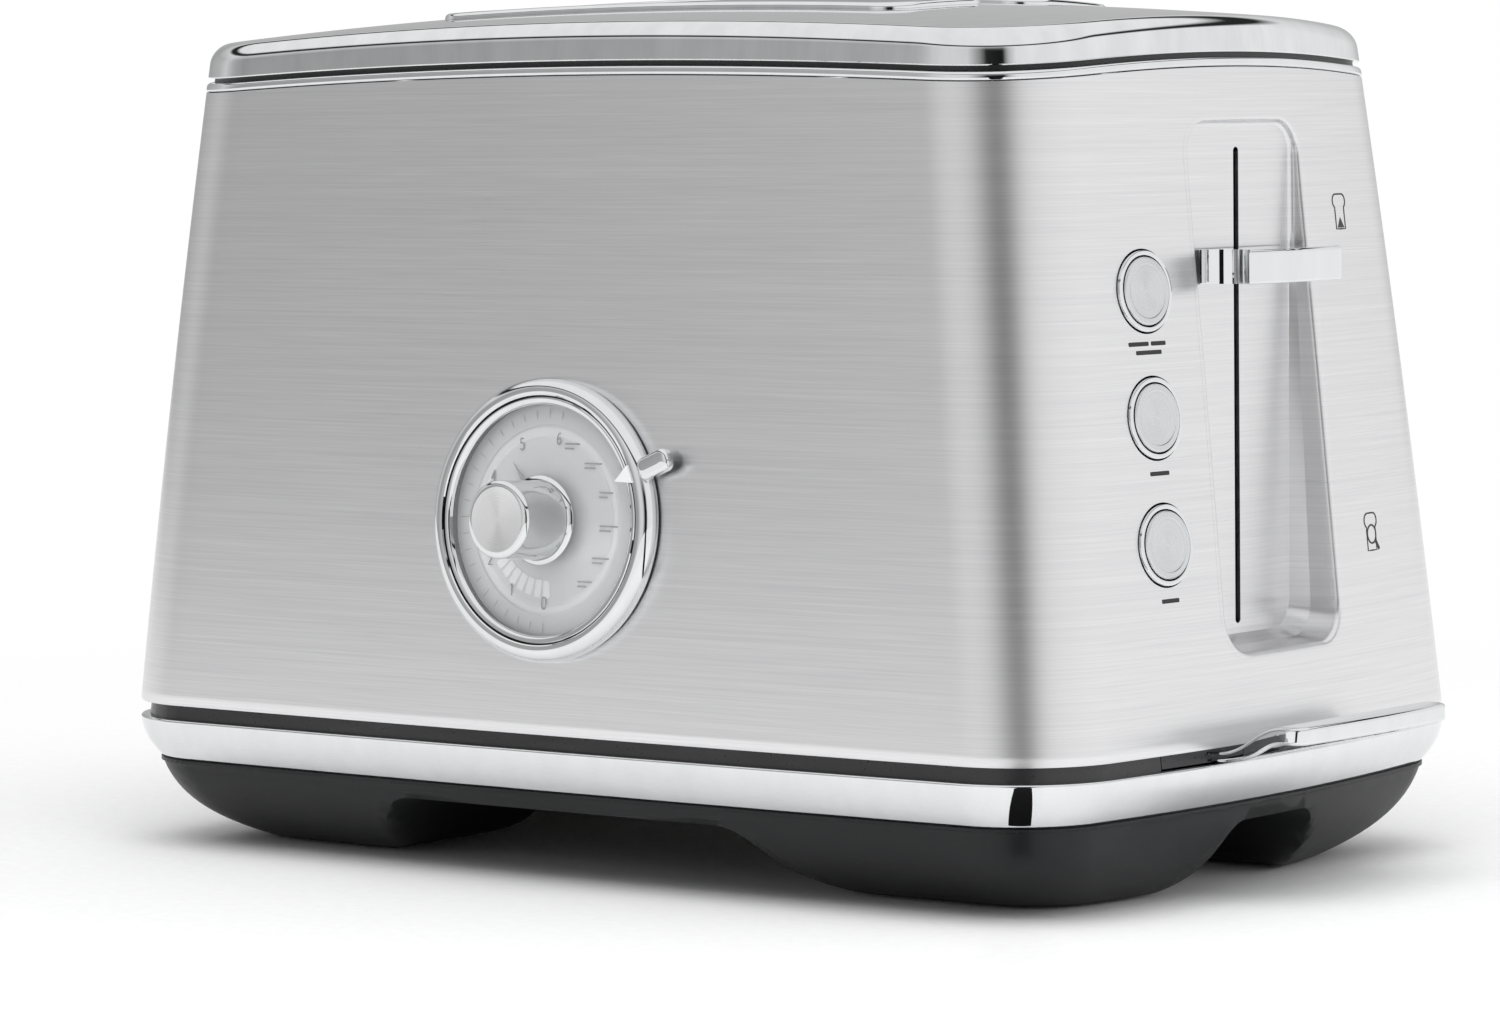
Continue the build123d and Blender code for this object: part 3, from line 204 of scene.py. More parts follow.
def rim(steps, rise, grow=0.0, apex=SEAM_APEX, radii=SEAM_RADIUS):
    """Where the leaning wall meets an arched surface, found by stepping the height four times."""
    z = np.full(len(steps[0]), apex + rise)
    for _ in range(4):
        x, y, angle = outline(steps, *lean(z, grow))
        z = arch(x, y, apex + rise, radii)
    return np.stack([x, y, z], -1), angle


# Meshes

def into_frame(points):
    """Millimetres about the body's middle to the frame's metres."""
    return np.asarray(points, float) * MM + body_middle


def make_piece(name, points, faces, material, body="housing", smooth=40.0):
    """Mesh object from points in millimetres and faces. Doubles are merged, normals turned outwards, and
    edges sharper than the given angle stay sharp."""
    mesh = bpy.data.meshes.new(name)
    mesh.from_pydata(into_frame(points).tolist(), [], np.asarray(faces).tolist())
    shape = bmesh.new()
    shape.from_mesh(mesh)
    bmesh.ops.remove_doubles(shape, verts=shape.verts, dist=MERGE)
    bmesh.ops.dissolve_degenerate(shape, edges=shape.edges, dist=MERGE / 2)
    bmesh.ops.delete(shape, geom=[edge for edge in shape.edges if not edge.link_faces], context="EDGES")
    bmesh.ops.recalc_face_normals(shape, faces=shape.faces)
    shape.to_mesh(mesh)
    shape.free()
    return dress(name, mesh, material, body, smooth)


def dress(name, mesh, material, body, smooth=40.0):
    """Object for a finished mesh, shaded smooth but for its sharp edges, riding on its body."""
    mesh.polygons.foreach_set("use_smooth", np.ones(len(mesh.polygons), bool))
    mesh.set_sharp_from_angle(angle=math.radians(smooth))
    piece = bpy.data.objects.new(name, mesh)
    bpy.context.scene.collection.objects.link(piece)
    piece.data.materials.clear()
    piece.data.materials.append(material)
    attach(piece, body)
    return piece


def grid_faces(rows, columns, wrap_rows=False, wrap_columns=True):
    """Quads of a grid of points, numbered row by row."""
    last_row = rows if wrap_rows else rows - 1
    last_column = columns if wrap_columns else columns - 1
    row, column = np.meshgrid(np.arange(last_row), np.arange(last_column), indexing="ij")
    below = (row + 1) % rows
    beside = (column + 1) % columns
    near = row * columns
    far = below * columns
    quads = np.stack([near + column, near + beside, far + beside, far + column], -1)
    return quads.reshape(-1, 4)


def grid_piece(
    name, grid, material, body="housing", wrap_rows=False, wrap_columns=True, smooth=40.0
):
    """Piece from a grid of points, rows by columns by three."""
    rows, columns = grid.shape[:2]
    faces = grid_faces(rows, columns, wrap_rows, wrap_columns)
    return make_piece(name, grid.reshape(-1, 3), faces, material, body, smooth)


def cut(piece, cutters):
    """The piece less each cutter."""
    for cutter in cutters:
        modifier = piece.modifiers.new("cut", "BOOLEAN")
        modifier.operation = "DIFFERENCE"
        modifier.solver = "EXACT"
        modifier.object = cutter
    bpy.context.view_layer.update()
    graph = bpy.context.evaluated_depsgraph_get()
    mesh = bpy.data.meshes.new_from_object(piece.evaluated_get(graph), depsgraph=graph)
    mesh.set_sharp_from_angle(angle=math.radians(40))
    piece.modifiers.clear()
    piece.data = mesh
    for helper in cutters:
        bpy.data.objects.remove(helper)
    return piece


def prism(points, along):
    """Closed cutter: a flat loop of points carried along a vector, all in millimetres."""
    loop = np.asarray(points, float)
    grid = np.stack([loop, loop + np.asarray(along, float)])
    count = len(loop)
    faces = grid_faces(2, count).tolist() + [list(range(count)), list(range(count, 2 * count))]
    mesh = bpy.data.meshes.new("cutter")
    mesh.from_pydata(into_frame(grid.reshape(-1, 3)).tolist(), [], faces)
    shape = bmesh.new()
    shape.from_mesh(mesh)
    bmesh.ops.recalc_face_normals(shape, faces=shape.faces)
    shape.to_mesh(mesh)
    shape.free()
    cutter = bpy.data.objects.new("cutter", mesh)
    bpy.context.scene.collection.objects.link(cutter)
    return cutter


def round_rectangle(width, height, radius, corner=10, side=10):
    """Loop of a rounded rectangle about the origin: four quarter arcs, each about its corner's centre, and
    points along the straight run to the next one."""
    turn = np.linspace(0, np.pi / 2, corner + 1)
    arcs = []
    for quarter, signs in enumerate(((1, 1), (-1, 1), (-1, -1), (1, -1))):
        centre = np.array(signs) * (width / 2 - radius, height / 2 - radius)
        angle = turn + quarter * np.pi / 2
        arcs.append(centre + radius * np.stack([np.cos(angle), np.sin(angle)], -1))
    share = np.linspace(0, 1, side + 1)[1:-1, None]
    runs = [arc[-1] + (after[0] - arc[-1]) * share for arc, after in zip(arcs, arcs[1:] + arcs[:1])]
    return np.concatenate([part for pair in zip(arcs, runs) for part in pair])


# Flat places on the body: an origin with the directions across, up and out

class Place:
    def __init__(self, origin, across, out):
        self.origin = np.asarray(origin, float)
        self.out = np.asarray(out, float) / np.linalg.norm(out)
        across = np.asarray(across, float) - self.out * np.dot(across, self.out)
        self.across = across / np.linalg.norm(across)
        self.up = np.cross(self.out, self.across)

    def at(self, across, up, out=0.0):
        """Point or points by distances across, up and out."""
        across, up, out = np.broadcast_arrays(
            np.asarray(across, float), np.asarray(up, float), np.asarray(out, float)
        )
        return (
            self.origin
            + across[..., None] * self.across
            + up[..., None] * self.up
            + out[..., None] * self.out
        )


def end_place(y, z):
    """Place on the lever end, with its normal from the bow across and the lean upwards."""
    half_x, half_y, _ = lean(z)
    above_x, above_y, _ = lean(z + 1)
    x = half_x + END_BOW * (1 - (y / half_y) ** 2)
    x_above = above_x + END_BOW * (1 - (y / above_y) ** 2)
    slope = -2 * END_BOW * y / half_y**2
    return Place((x, y, z), (slope, 1, 0), (1, -slope, x - x_above))


def front_place(x, z):
    """Place on the dial side, with its normal from the lean upwards."""
    y = -(lean(z)[1] + SIDE_BOW)
    y_above = -(lean(z + 1)[1] + SIDE_BOW)
    return Place((x, y, z), (1, 0, 0), (0, -1, y_above - y))


dial_place = front_place(*DIAL_SPOT)
button_place = end_place(BUTTON_Y, BUTTON_MID_Z)


def turned(name, place, profile, material, body="housing", segments=160, spot=(0, 0), smooth=35.0):
    """Piece turned about a place's outward axis: the profile's (radius, rise) points carried round."""
    profile = np.asarray(profile, float)
    angle = np.linspace(0, 2 * np.pi, segments, endpoint=False)
    radius = profile[:, 0][:, None]
    across = spot[0] + radius * np.sin(angle)
    up = spot[1] + radius * np.cos(angle)
    grid = place.at(across, up, profile[:, 1][:, None])
    return grid_piece(name, grid, material, body, smooth=smooth)


def rounded(points, radius, steps=6):
    """Profile with its inner corners rounded: each corner is replaced by a quadratic curve that leaves and
    meets its sides at the given distance."""
    points = np.asarray(points, float)
    out = [points[0]]
    share = np.linspace(0, 1, steps)[:, None]
    for before, corner, after in zip(points[:-2], points[1:-1], points[2:]):
        back = before - corner
        ahead = after - corner
        start = corner + back * min(radius / np.linalg.norm(back), 0.49)
        end = corner + ahead * min(radius / np.linalg.norm(ahead), 0.49)
        out.extend((1 - share) ** 2 * start + 2 * share * (1 - share) * corner + share**2 * end)
    out.append(points[-1])
    return np.array(out)


def bend(first, corner, last, count, full=0.707):
    """Rows of a rounded corner: a conic from first to last that leans towards the corner, its middle weight
    the cosine of half the turn."""
    rows = []
    for share in np.linspace(0, 1, count):
        weights = ((1 - share) ** 2, 2 * share * (1 - share) * full, share**2)
        rows.append((weights[0] * first + weights[1] * corner + weights[2] * last) / sum(weights))
    return rows


def smooth_copy(name, node, material, body, smooth=30.0):
    """Piece from a frame node whose shape is right: its loose triangles are joined and shaded smooth."""
    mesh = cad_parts[node].data.copy()
    mesh.name = name
    shape = bmesh.new()
    shape.from_mesh(mesh)
    bmesh.ops.remove_doubles(shape, verts=shape.verts, dist=10 * MERGE)
    shape.to_mesh(mesh)
    shape.free()
    piece = dress(name, mesh, material, body, smooth)
    weigh = piece.modifiers.new("weigh", "WEIGHTED_NORMAL")
    weigh.keep_sharp = True
    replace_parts(piece, node)
    return piece


# Materials

def linear(code):
    """sRGB hex to linear red, green, blue and alpha."""
    parts = [int(code[place : place + 2], 16) / 255 for place in (1, 3, 5)]
    return (*[part / 12.92 if part <= 0.04045 else ((part + 0.055) / 1.055) ** 2.4 for part in parts], 1.0)


def node(owner, kind, links=None, stops=(), **settings):
    """Adds one node to a material or to the world. Settings name its properties or its sockets. Links give
    its sockets their sources, where a node stands for its first output. Stops are a ramp's colours."""
    tree = owner.node_tree
    added = tree.nodes.new(kind)
    for name, value in settings.items():
        if hasattr(added, name):
            setattr(added, name, value)
        else:
            added.inputs[name.replace("_", " ")].default_value = value
    for name, source in (links or {}).items():
        tree.links.new(getattr(source, "outputs", [source])[0], added.inputs[name])
    while 2 <= len(stops) > len(added.color_ramp.elements):
        added.color_ramp.elements.new(0.5)
    for number, (place, code) in enumerate(stops):
        added.color_ramp.elements[number].position = place
        added.color_ramp.elements[number].color = linear(code)
    return added


def new_material(name):
    """Empty material, with the object coordinates of whatever piece wears it."""
    material = bpy.data.materials.new(name)
    material.use_nodes = True
    material.node_tree.nodes.clear()
    return material, node(material, "ShaderNodeTexCoord").outputs["Object"]


def finished(material, links, **settings):
    """The material, with its shader's links and settings wired to its output."""
    shader = node(material, "ShaderNodeBsdfPrincipled", links, **settings)
    node(material, "ShaderNodeOutputMaterial", {"Surface": shader})
    return material


def grain(material, place, scale, stretch=(1, 1, 1), detail=3.0, roughness=0.55):
    """Noise with features of 1/scale metres, drawn out along the axes where the stretch is small."""
    mapped = node(material, "ShaderNodeMapping", {"Vector": place}, Scale=stretch)
    return node(
        material, "ShaderNodeTexNoise", {"Vector": mapped}, Scale=scale, Detail=detail, Roughness=roughness
    )


def brushed_stainless():
    """Stainless sheet, brushed along the body: fine level lines spread each reflection upwards, and a few
    longer scratches show lighter. Real lines are 0.05 mm; these are 0.2 mm, so that they show."""
    material, place = new_material("brushed_stainless_steel")
    fine = grain(material, place, 5200.0, (0.008, 0.008, 1.0), 2.0, 0.5)
    long = grain(material, place, 1700.0, (0.006, 0.006, 1.0), 3.0, 0.6)
    both = node(material, "ShaderNodeMath", {0: fine, 1: long}, operation="MULTIPLY")
    patch = grain(material, place, 9.0, detail=2.0)
    streak = node(material, "ShaderNodeMapRange", {"Value": both}, To_Min=0.27, To_Max=0.36)
    cloud = node(material, "ShaderNodeMapRange", {"Value": patch}, To_Min=-0.02, To_Max=0.02)
    stops = ((0.10, "#E0E0E2"), (0.26, "#E7E7E8"), (0.45, "#EEEEEF"))
    links = {
        "Base Color": node(material, "ShaderNodeValToRGB", {"Fac": both}, stops),
        "Roughness": node(material, "ShaderNodeMath", {0: streak, 1: cloud}, operation="ADD"),
        "Tangent": node(material, "ShaderNodeTangent", direction_type="RADIAL", axis="Z"),
        "Normal": node(material, "ShaderNodeBump", {"Height": both}, Strength=0.05, Distance=0.00003),
    }
    return finished(material, links, Metallic=1.0, Anisotropic=0.6)


def polished_chrome(name, dark, light, haze):
    """Chrome plate, buffed: a mirror with faint wipe marks about 6 mm apart."""
    material, place = new_material(name)
    wipe = grain(material, place, 160.0, (1, 1, 0.3), 3.0)
    ripple = grain(material, place, 30.0, detail=1.0)
    links = {
        "Base Color": node(material, "ShaderNodeValToRGB", {"Fac": wipe}, ((0.3, dark), (0.7, light))),
        "Roughness": node(material, "ShaderNodeMapRange", {"Value": wipe}, To_Min=haze[0], To_Max=haze[1]),
        "Normal": node(material, "ShaderNodeBump", {"Height": ripple}, Strength=0.01, Distance=0.0001),
    }
    return finished(material, links, Metallic=1.0)


def moulding(name, dark, light, rough=(0.34, 0.46), scale=2200.0, shine=0.5):
    """Moulded plastic, rubber or card, or dried ink: a grain of 0.45 mm unless told otherwise, which breaks
    up the shine, and a slow cloud of colour 45 mm wide."""
    material, place = new_material(name)
    speck = grain(material, place, scale, detail=2.0)
    cloud = grain(material, place, 22.0, detail=2.0)
    links = {
        "Base Color": node(material, "ShaderNodeValToRGB", {"Fac": cloud}, ((0.3, dark), (0.75, light))),
        "Roughness": node(material, "ShaderNodeMapRange", {"Value": speck}, To_Min=rough[0], To_Max=rough[1]),
        "Normal": node(material, "ShaderNodeBump", {"Height": speck}, Strength=0.18, Distance=0.00006),
    }
    return finished(material, links, Specular_IOR_Level=shine)


def sheet_metal(name, dark, light, rough=(0.28, 0.5), scale=260.0):
    """Plated or bare sheet and wire: cloudy spangle of about 4 mm, with a fine rolled line 1 mm apart."""
    material, place = new_material(name)
    cloud = grain(material, place, scale, detail=4.0)
    line = grain(material, place, 900.0, (0.03, 1, 1), 2.0)
    links = {
        "Base Color": node(material, "ShaderNodeValToRGB", {"Fac": cloud}, ((0.3, dark), (0.7, light))),
        "Roughness": node(material, "ShaderNodeMapRange", {"Value": line}, To_Min=rough[0], To_Max=rough[1]),
        "Normal": node(material, "ShaderNodeBump", {"Height": line}, Strength=0.06, Distance=0.00005),
    }
    return finished(material, links, Metallic=1.0)


def from_axis(material, place, own):
    """The way from a place's origin to the surface, and the distance from the place's outward axis."""
    centre = Vector(into_frame(own.origin))
    moved = node(material, "ShaderNodeVectorMath", {0: place}, operation="SUBTRACT")
    moved.inputs[1].default_value = centre
    turn = Vector(own.out).to_track_quat("Z", "Y").inverted().to_euler()
    flat = node(material, "ShaderNodeMapping", {"Vector": moved}, Rotation=turn)
    parted = node(material, "ShaderNodeSeparateXYZ", {"Vector": flat}).outputs
    level = node(material, "ShaderNodeCombineXYZ", {"X": parted["X"], "Y": parted["Y"]})
    return moved, node(material, "ShaderNodeVectorMath", {0: level}, operation="LENGTH").outputs["Value"]


def turned_aluminium(name, own, dark, light, rough, pitch, depth):
    """Aluminium turned on a lathe: rings a pitch apart about the piece's own axis. Real rings are 0.05 mm;
    the pitch is coarser, so that they show. The shine runs across the rings and makes rays."""
    material, place = new_material(name)
    moved, radius = from_axis(material, place, own)
    rings = node(
        material, "ShaderNodeTexNoise", {"W": radius}, noise_dimensions="1D", Scale=1 / pitch, Detail=2.0
    )
    along = node(material, "ShaderNodeVectorMath", {0: moved}, operation="CROSS_PRODUCT")
    along.inputs[1].default_value = Vector(own.out)
    links = {
        "Base Color": node(material, "ShaderNodeValToRGB", {"Fac": rings}, ((0.3, dark), (0.7, light))),
        "Roughness": node(material, "ShaderNodeMapRange", {"Value": rings}, To_Min=rough[0], To_Max=rough[1]),
        "Tangent": along,
        "Normal": node(material, "ShaderNodeBump", {"Height": rings}, Strength=depth, Distance=pitch * 0.1),
    }
    return finished(material, links, Metallic=1.0, Anisotropic=0.85)


def pearl_lacquer_with_painted_light():
    """Silver pearl lacquer on the dial, with a sparkle of 0.3 mm. Its colour by radius is painted light:
    paler at the ring three quarters of the way out as a painted highlight on the raised ring, with painted
    shade just outside that ring and darkening towards the neck wall."""
    material, place = new_material("silver_pearl_lacquer_with_painted_light")
    moved = node(material, "ShaderNodeVectorMath", {0: place}, operation="SUBTRACT")
    moved.inputs[1].default_value = Vector(into_frame(dial_place.origin))
    radius = node(material, "ShaderNodeVectorMath", {0: moved}, operation="LENGTH").outputs["Value"]
    share = node(material, "ShaderNodeMapRange", {"Value": radius}, From_Min=0.0, From_Max=NECK_INNER * MM)
    # Painted highlight on the raised ring's top (0.73 to 0.77), then painted shade just outside it, darkest
    # at the neck wall
    stops = (
        (0.0, "#D9DADB"), (0.70, "#DDDEDF"), (0.73, "#E9E9EA"),
        (0.77, "#EDEDEE"), (0.80, "#D6D7D8"), (1.0, "#CDCECF"),
    )
    sparkle = grain(material, place, 3200.0, detail=1.0)
    links = {
        "Base Color": node(material, "ShaderNodeValToRGB", {"Fac": share}, stops),
        "Roughness": node(material, "ShaderNodeMapRange", {"Value": sparkle}, To_Min=0.28, To_Max=0.42),
        "Normal": node(material, "ShaderNodeBump", {"Height": sparkle}, Strength=0.05, Distance=0.00003),
    }
    return finished(material, links, Metallic=0.25, Coat_Weight=0.25, Coat_Roughness=0.15)


def clear_acrylic():
    """Clear acrylic cover, polished: seen only by its shine."""
    material, place = new_material("clear_polished_acrylic")
    ripple = grain(material, place, 40.0, detail=1.0)
    links = {"Normal": node(material, "ShaderNodeBump", {"Height": ripple}, Strength=0.01, Distance=0.0001)}
    return finished(material, links, Roughness=0.03, Alpha=0.12, IOR=1.49, Base_Color=linear("#F4F6F7"))


brushed = brushed_stainless()
chrome = polished_chrome("buffed_chrome_plate", "#E1E3E4", "#E7E8E9", (0.02, 0.03))
# Lid: die-cast zinc under chrome, a touch hazier than the plated steel
lid_chrome = polished_chrome("chrome_plated_zinc_casting", "#DCDEDF", "#E8E9EA", (0.03, 0.05))
# Base: ABS, moulded dark grey with a fine spark-eroded skin, which looks satin
base_abs = moulding("charcoal_abs_moulding", "#141517", "#1C1D1F", shine=0.3)
# Inner mouldings: glass-filled nylon, dull and slightly hairy
nylon = moulding("glass_filled_nylon_moulding", "#1D1D1E", "#29292A", (0.45, 0.6))
# Feet, groove and grommet: silicone rubber, near black with a soft shine
rubber = moulding("black_silicone_rubber", "#161617", "#242425", (0.3, 0.42), 900.0)
# Gasket under the shell: the same rubber, pressed smoother, so that it shines more
gasket = moulding("smooth_silicone_gasket", "#232325", "#343436", (0.24, 0.34), 700.0)
# Carriage, chassis and wire guides: zinc plate, a cool grey with a low shine
zinc = sheet_metal("zinc_plated_steel", "#9FA3A6", "#BEC1C3")
# Chamber: aluminised sheet, paler and duller, as it stands the heat
aluminised = sheet_metal("aluminised_steel_sheet", "#A2A3A3", "#BDBEBE", (0.36, 0.55), 420.0)
# Heating ribbon: nickel chrome, browned by heat
nichrome = sheet_metal("oxidised_nickel_chrome_ribbon", "#4A4341", "#6B6461", (0.4, 0.6), 900.0)
# Magnet coil: enamelled copper wire, glossy and brown
copper = sheet_metal("enamelled_copper_wire", "#8A4B2A", "#B26A3E", (0.22, 0.35), 1800.0)
# Boards: glass and epoxy under green solder resist
board = moulding("green_resist_glass_epoxy", "#123A24", "#1B5434", (0.25, 0.4), 1200.0)
# Parts on the boards: black epoxy and nylon housings
housings = moulding("black_epoxy_housing", "#1A1A1B", "#262627", (0.3, 0.45))
# Heater cards: pressed mica, flaky and buff
mica = moulding("pressed_mica_card", "#8E8062", "#B6A888", (0.5, 0.75), 600.0)
# Light blocks and pointer: opal acrylic, white and fairly glossy
opal = moulding("opal_acrylic", "#F2F2F2", "#FFFFFF", (0.2, 0.3))
# Dial's print and the end face's: screen ink, flat
grey_ink = moulding("grey_screen_ink", "#8C8C8E", "#9A9A9C", (0.4, 0.55))
black_ink = moulding("black_screen_ink", "#141415", "#1E1E1F", (0.35, 0.5))
acrylic = clear_acrylic()
# Dial face: silver pearl lacquer, its colour also holding a painted highlight on the raised ring and painted
# shade towards its edge
pearl_with_painted_light = pearl_lacquer_with_painted_light()
knob_face = turned_aluminium(
    "satin_turned_aluminium", dial_place, "#ECECED", "#F4F4F5", (0.40, 0.46), pitch=0.00035, depth=0.03
)

for material, names in (
    (zinc, ("chassis_plate", "chassis_screws", "tray_rails", "lever_arm", "carriage_bracket", "rack_front")),
    (zinc, ("rack_rear", "guide_rods", "carriage_spring", "latch_plate", "magnet_core", "knob_shaft")),
    (zinc, ("guide_front_outer", "guide_front_inner", "guide_rear_inner", "guide_rear_outer")),
    (aluminised, ("chamber_ends", "chamber_sides", "top_frame", "crumb_tray")),
    (mica, ("heater_cards",)),
    (nichrome, ("heater_ribbons",)),
    (copper, ("magnet_coil",)),
    (board, ("dial_board", "button_board", "power_board")),
    (housings, ("turn_sensor", "button_switches", "power_parts", "carriage_switch")),
    (nylon, ("dial_cup", "button_carrier", "terminal_block")),
    (rubber, ("cord_inlet",)),
):
    for name in names:
        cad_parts[name].data.materials.clear()
        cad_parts[name].data.materials.append(material)


# Outer shell

steps = loop_steps()
seam, _ = rim(steps, 0.0)


def shell_rows(grow, shares, foot):
    """Rows of the leaning wall: at each share of the way from the foot to the seam, the outline there."""
    rows = []
    for share in shares:
        z = foot + (seam[:, 2] - foot) * share
        x, y, _ = outline(steps, *lean(z, grow))
        rows.append(np.stack([x, y, z], -1))
    return rows


def end_face(y, z):
    """X of the lever end's face: the bow's arc, whose radius comes from its rise over the half-width."""
    half_x, half_y, _ = lean(z)
    bow = (half_y**2 + END_BOW**2) / (2 * END_BOW)
    return half_x + END_BOW - bow + np.sqrt(bow**2 - y**2)


# Rows run from the turned-in foot up the outside to the seam, and down the inside to the flange
flange = SHELL_WALL + 4.0
shell_grid = shell_rows(-0.3, [0.0], SHELL_BOTTOM)
shell_grid += shell_rows(0.0, np.linspace(0.004, 1.0, 76), SHELL_BOTTOM)
shell_grid += shell_rows(-SHELL_WALL, np.linspace(1.0, 0.006, 12), SHELL_BOTTOM + 0.1)
shell_grid += shell_rows(-flange, [0.006, 0.0], SHELL_BOTTOM)
shell = grid_piece("shell_skin", np.array(shell_grid), brushed, wrap_rows=True)


# Lever recess, pressed into the end face

recess_mid = sum(RECESS_Z) / 2
floor_loop = round_rectangle(2 * RECESS_HALF, RECESS_Z[1] - RECESS_Z[0], RECESS_CORNER, 24)
loop_run = np.roll(floor_loop, -1, 0) - np.roll(floor_loop, 1, 0)
loop_out = np.stack([loop_run[:, 1], -loop_run[:, 0]], -1)
loop_out = loop_out / np.linalg.norm(loop_out, axis=1)[:, None]


def recess_ring(offset, x=None, above=0.0):
    """Ring at an offset outwards from the floor's outline: X is given, or lies above the end face."""
    ring = floor_loop + loop_out * np.asarray(offset)[..., None]
    y = ring[:, 0]
    z = ring[:, 1] + recess_mid
    if x is None:
        x = end_face(y, z) + above
    return np.stack([np.broadcast_to(x, y.shape), y, z], -1)


def recess_mouth():
    """Offset at which the drafted wall comes out of the end face, found by stepping, and the depth there."""
    offset = np.zeros(len(floor_loop))
    for _ in range(5):
        depth = recess_ring(offset)[:, 0] - RECESS_FLOOR_X
        offset = depth * RECESS_DRAFT
    return offset, depth


def slot_round(ring):
    """The lever slot's outline: each point of a ring goes to the nearest point of the slot, which is a
    middle line with half a circle at each end."""
    middle = sum(LEVER_SLOT_Z) / 2
    reach = (LEVER_SLOT_Z[1] - LEVER_SLOT_Z[0] - LEVER_SLOT_WIDTH) / 2
    z = np.clip((ring[:, 2] - recess_mid) * 0.96 + recess_mid, middle - reach, middle + reach)
    way = np.stack([ring[:, 1], ring[:, 2] - z], -1)
    way = way / np.linalg.norm(way, axis=1)[:, None] * LEVER_SLOT_WIDTH / 2
    return np.stack([np.full(len(z), RECESS_FLOOR_X), way[:, 0], z + way[:, 1]], -1)


def recess_rows():
    """Rows from the lap round the mouth, over its rolled edge, down the drafted wall and over the floor to
    the slot, and back behind."""
    roll = np.minimum(RECESS_ROLL, 0.42 * mouth_depth)
    fillet = np.minimum(RECESS_FILLET, 0.5 * mouth_depth)
    lap = mouth_offset + 2.2
    rows = [recess_ring(lap, above=-0.9), recess_ring(lap, above=0.02)]
    rolled_to = recess_ring(mouth_offset - roll * RECESS_DRAFT, x=RECESS_FLOOR_X + mouth_depth - roll)
    rolled_from = recess_ring(mouth_offset + roll, above=0.03)
    rows += bend(rolled_from, recess_ring(mouth_offset, above=0.03), rolled_to, 9)
    for share in np.linspace(0, 1, 8)[1:-1]:
        depth = mouth_depth - roll - (mouth_depth - roll - fillet) * share
        rows.append(recess_ring(depth * RECESS_DRAFT, x=RECESS_FLOOR_X + depth))
    inner = recess_ring(-fillet, x=RECESS_FLOOR_X)
    foot = recess_ring(fillet * RECESS_DRAFT, x=RECESS_FLOOR_X + fillet)
    rows += bend(foot, recess_ring(0.0, x=RECESS_FLOOR_X), inner, 10)
    slot = slot_round(inner)
    rows += [inner + (slot - inner) * share for share in np.linspace(0, 1, 12)[1:]]
    behind = np.array([RECESS_WALL, 0, 0])
    rows += [slot - behind, inner - behind]
    half_way = mouth_depth / 2
    return rows + [recess_ring(half_way * RECESS_DRAFT, x=RECESS_FLOOR_X - RECESS_WALL + half_way)]


mouth_offset, mouth_depth = recess_mouth()
recess = grid_piece("lever_recess_tray", np.array(recess_rows()), brushed, wrap_rows=True)
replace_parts(recess, "lever_recess")


def round_cutter(place, up, radius, count):
    """Cutter for a round hole, through the sheet about a point of a place."""
    turn = np.linspace(0, 2 * np.pi, count, endpoint=False)
    return prism(place.at(radius * np.sin(turn), up + radius * np.cos(turn), -8), 14 * place.out)


cutters = [
    prism(recess_ring(mouth_offset + 1.2, x=RECESS_FLOOR_X - 2), (30, 0, 0)),
    round_cutter(dial_place, 0.0, NECK_RADIUS + 0.3, 96),
]
cutters += [round_cutter(button_place, step, BUTTON_HOLE, 64) for step in (BUTTON_PITCH, 0, -BUTTON_PITCH)]
cut(shell, cutters)
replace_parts(shell, "outer_shell")


# Trim round the seam and the foot

def seam_ring(name, profile, material, old):
    """Ring along the arched seam: each (grow, rise) of its profile is the wall's outline grown by the one
    and cut at the seam raised by the other."""
    grid = np.array([rim(steps, rise, grow)[0] for grow, rise in profile])
    piece = grid_piece(name, grid, material, wrap_rows=True)
    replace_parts(piece, old)


def foot_ring(name, profile, material, old):
    """Level ring round the base: each (grow, z) of its profile is the foot's outline grown by the one at
    that z."""
    half_x, half_y, radius = lean(SHELL_BOTTOM)
    rows = []
    for grow, z in profile:
        x, y, _ = outline(steps, half_x + grow, half_y + grow, radius + grow)
        rows.append(np.stack([x, y, np.full(len(x), z)], -1))
    piece = grid_piece(name, np.array(rows), material, wrap_rows=True)
    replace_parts(piece, old)


def band_profile():
    """Outside of the band: a parabola through its three grows, a rounded top edge, and its back."""
    curve = np.polyfit((BAND_BOTTOM, BAND_SHOULDER, BAND_TOP), BAND_GROWS, 2)
    side = [(np.polyval(curve, z), z) for z in np.linspace(BAND_BOTTOM, BAND_TOP - 0.8, 26)]
    edge = ((0, 0.5), (0.15, 0.2), (0.45, 0.03), (0.8, 0))
    top = [(BAND_GROWS[2] - back, BAND_TOP - down) for back, down in edge]
    return side + top + [(-2.9, BAND_TOP), (-3.6, 27.0), (-7.5, BAND_BOTTOM)]


seam_back = -4.9
bead = ((seam_back, 0.06), (0.1, 0.06), (0.1, BEAD_HEIGHT), (seam_back, BEAD_HEIGHT))
seam_ring("lid_bead_ring", rounded(bead, 0.95, 8), chrome, "lid_bead")
groove_low = BEAD_HEIGHT + 0.02
lid_low = BEAD_HEIGHT + GROOVE_HEIGHT
groove = ((seam_back, groove_low), (-1.6, groove_low), (-1.6, lid_low), (seam_back, lid_low))
seam_ring("lid_groove_seal", groove, rubber, "lid_seal")
foot_ring("base_band_ring", band_profile(), chrome, "base_band")


# Lid

def wall_at(z, grow=0.0):
    """Outline of the leaning wall at a height for each station."""
    x, y, _ = outline(steps, *lean(z, grow))
    return np.stack([x, y, z], -1)


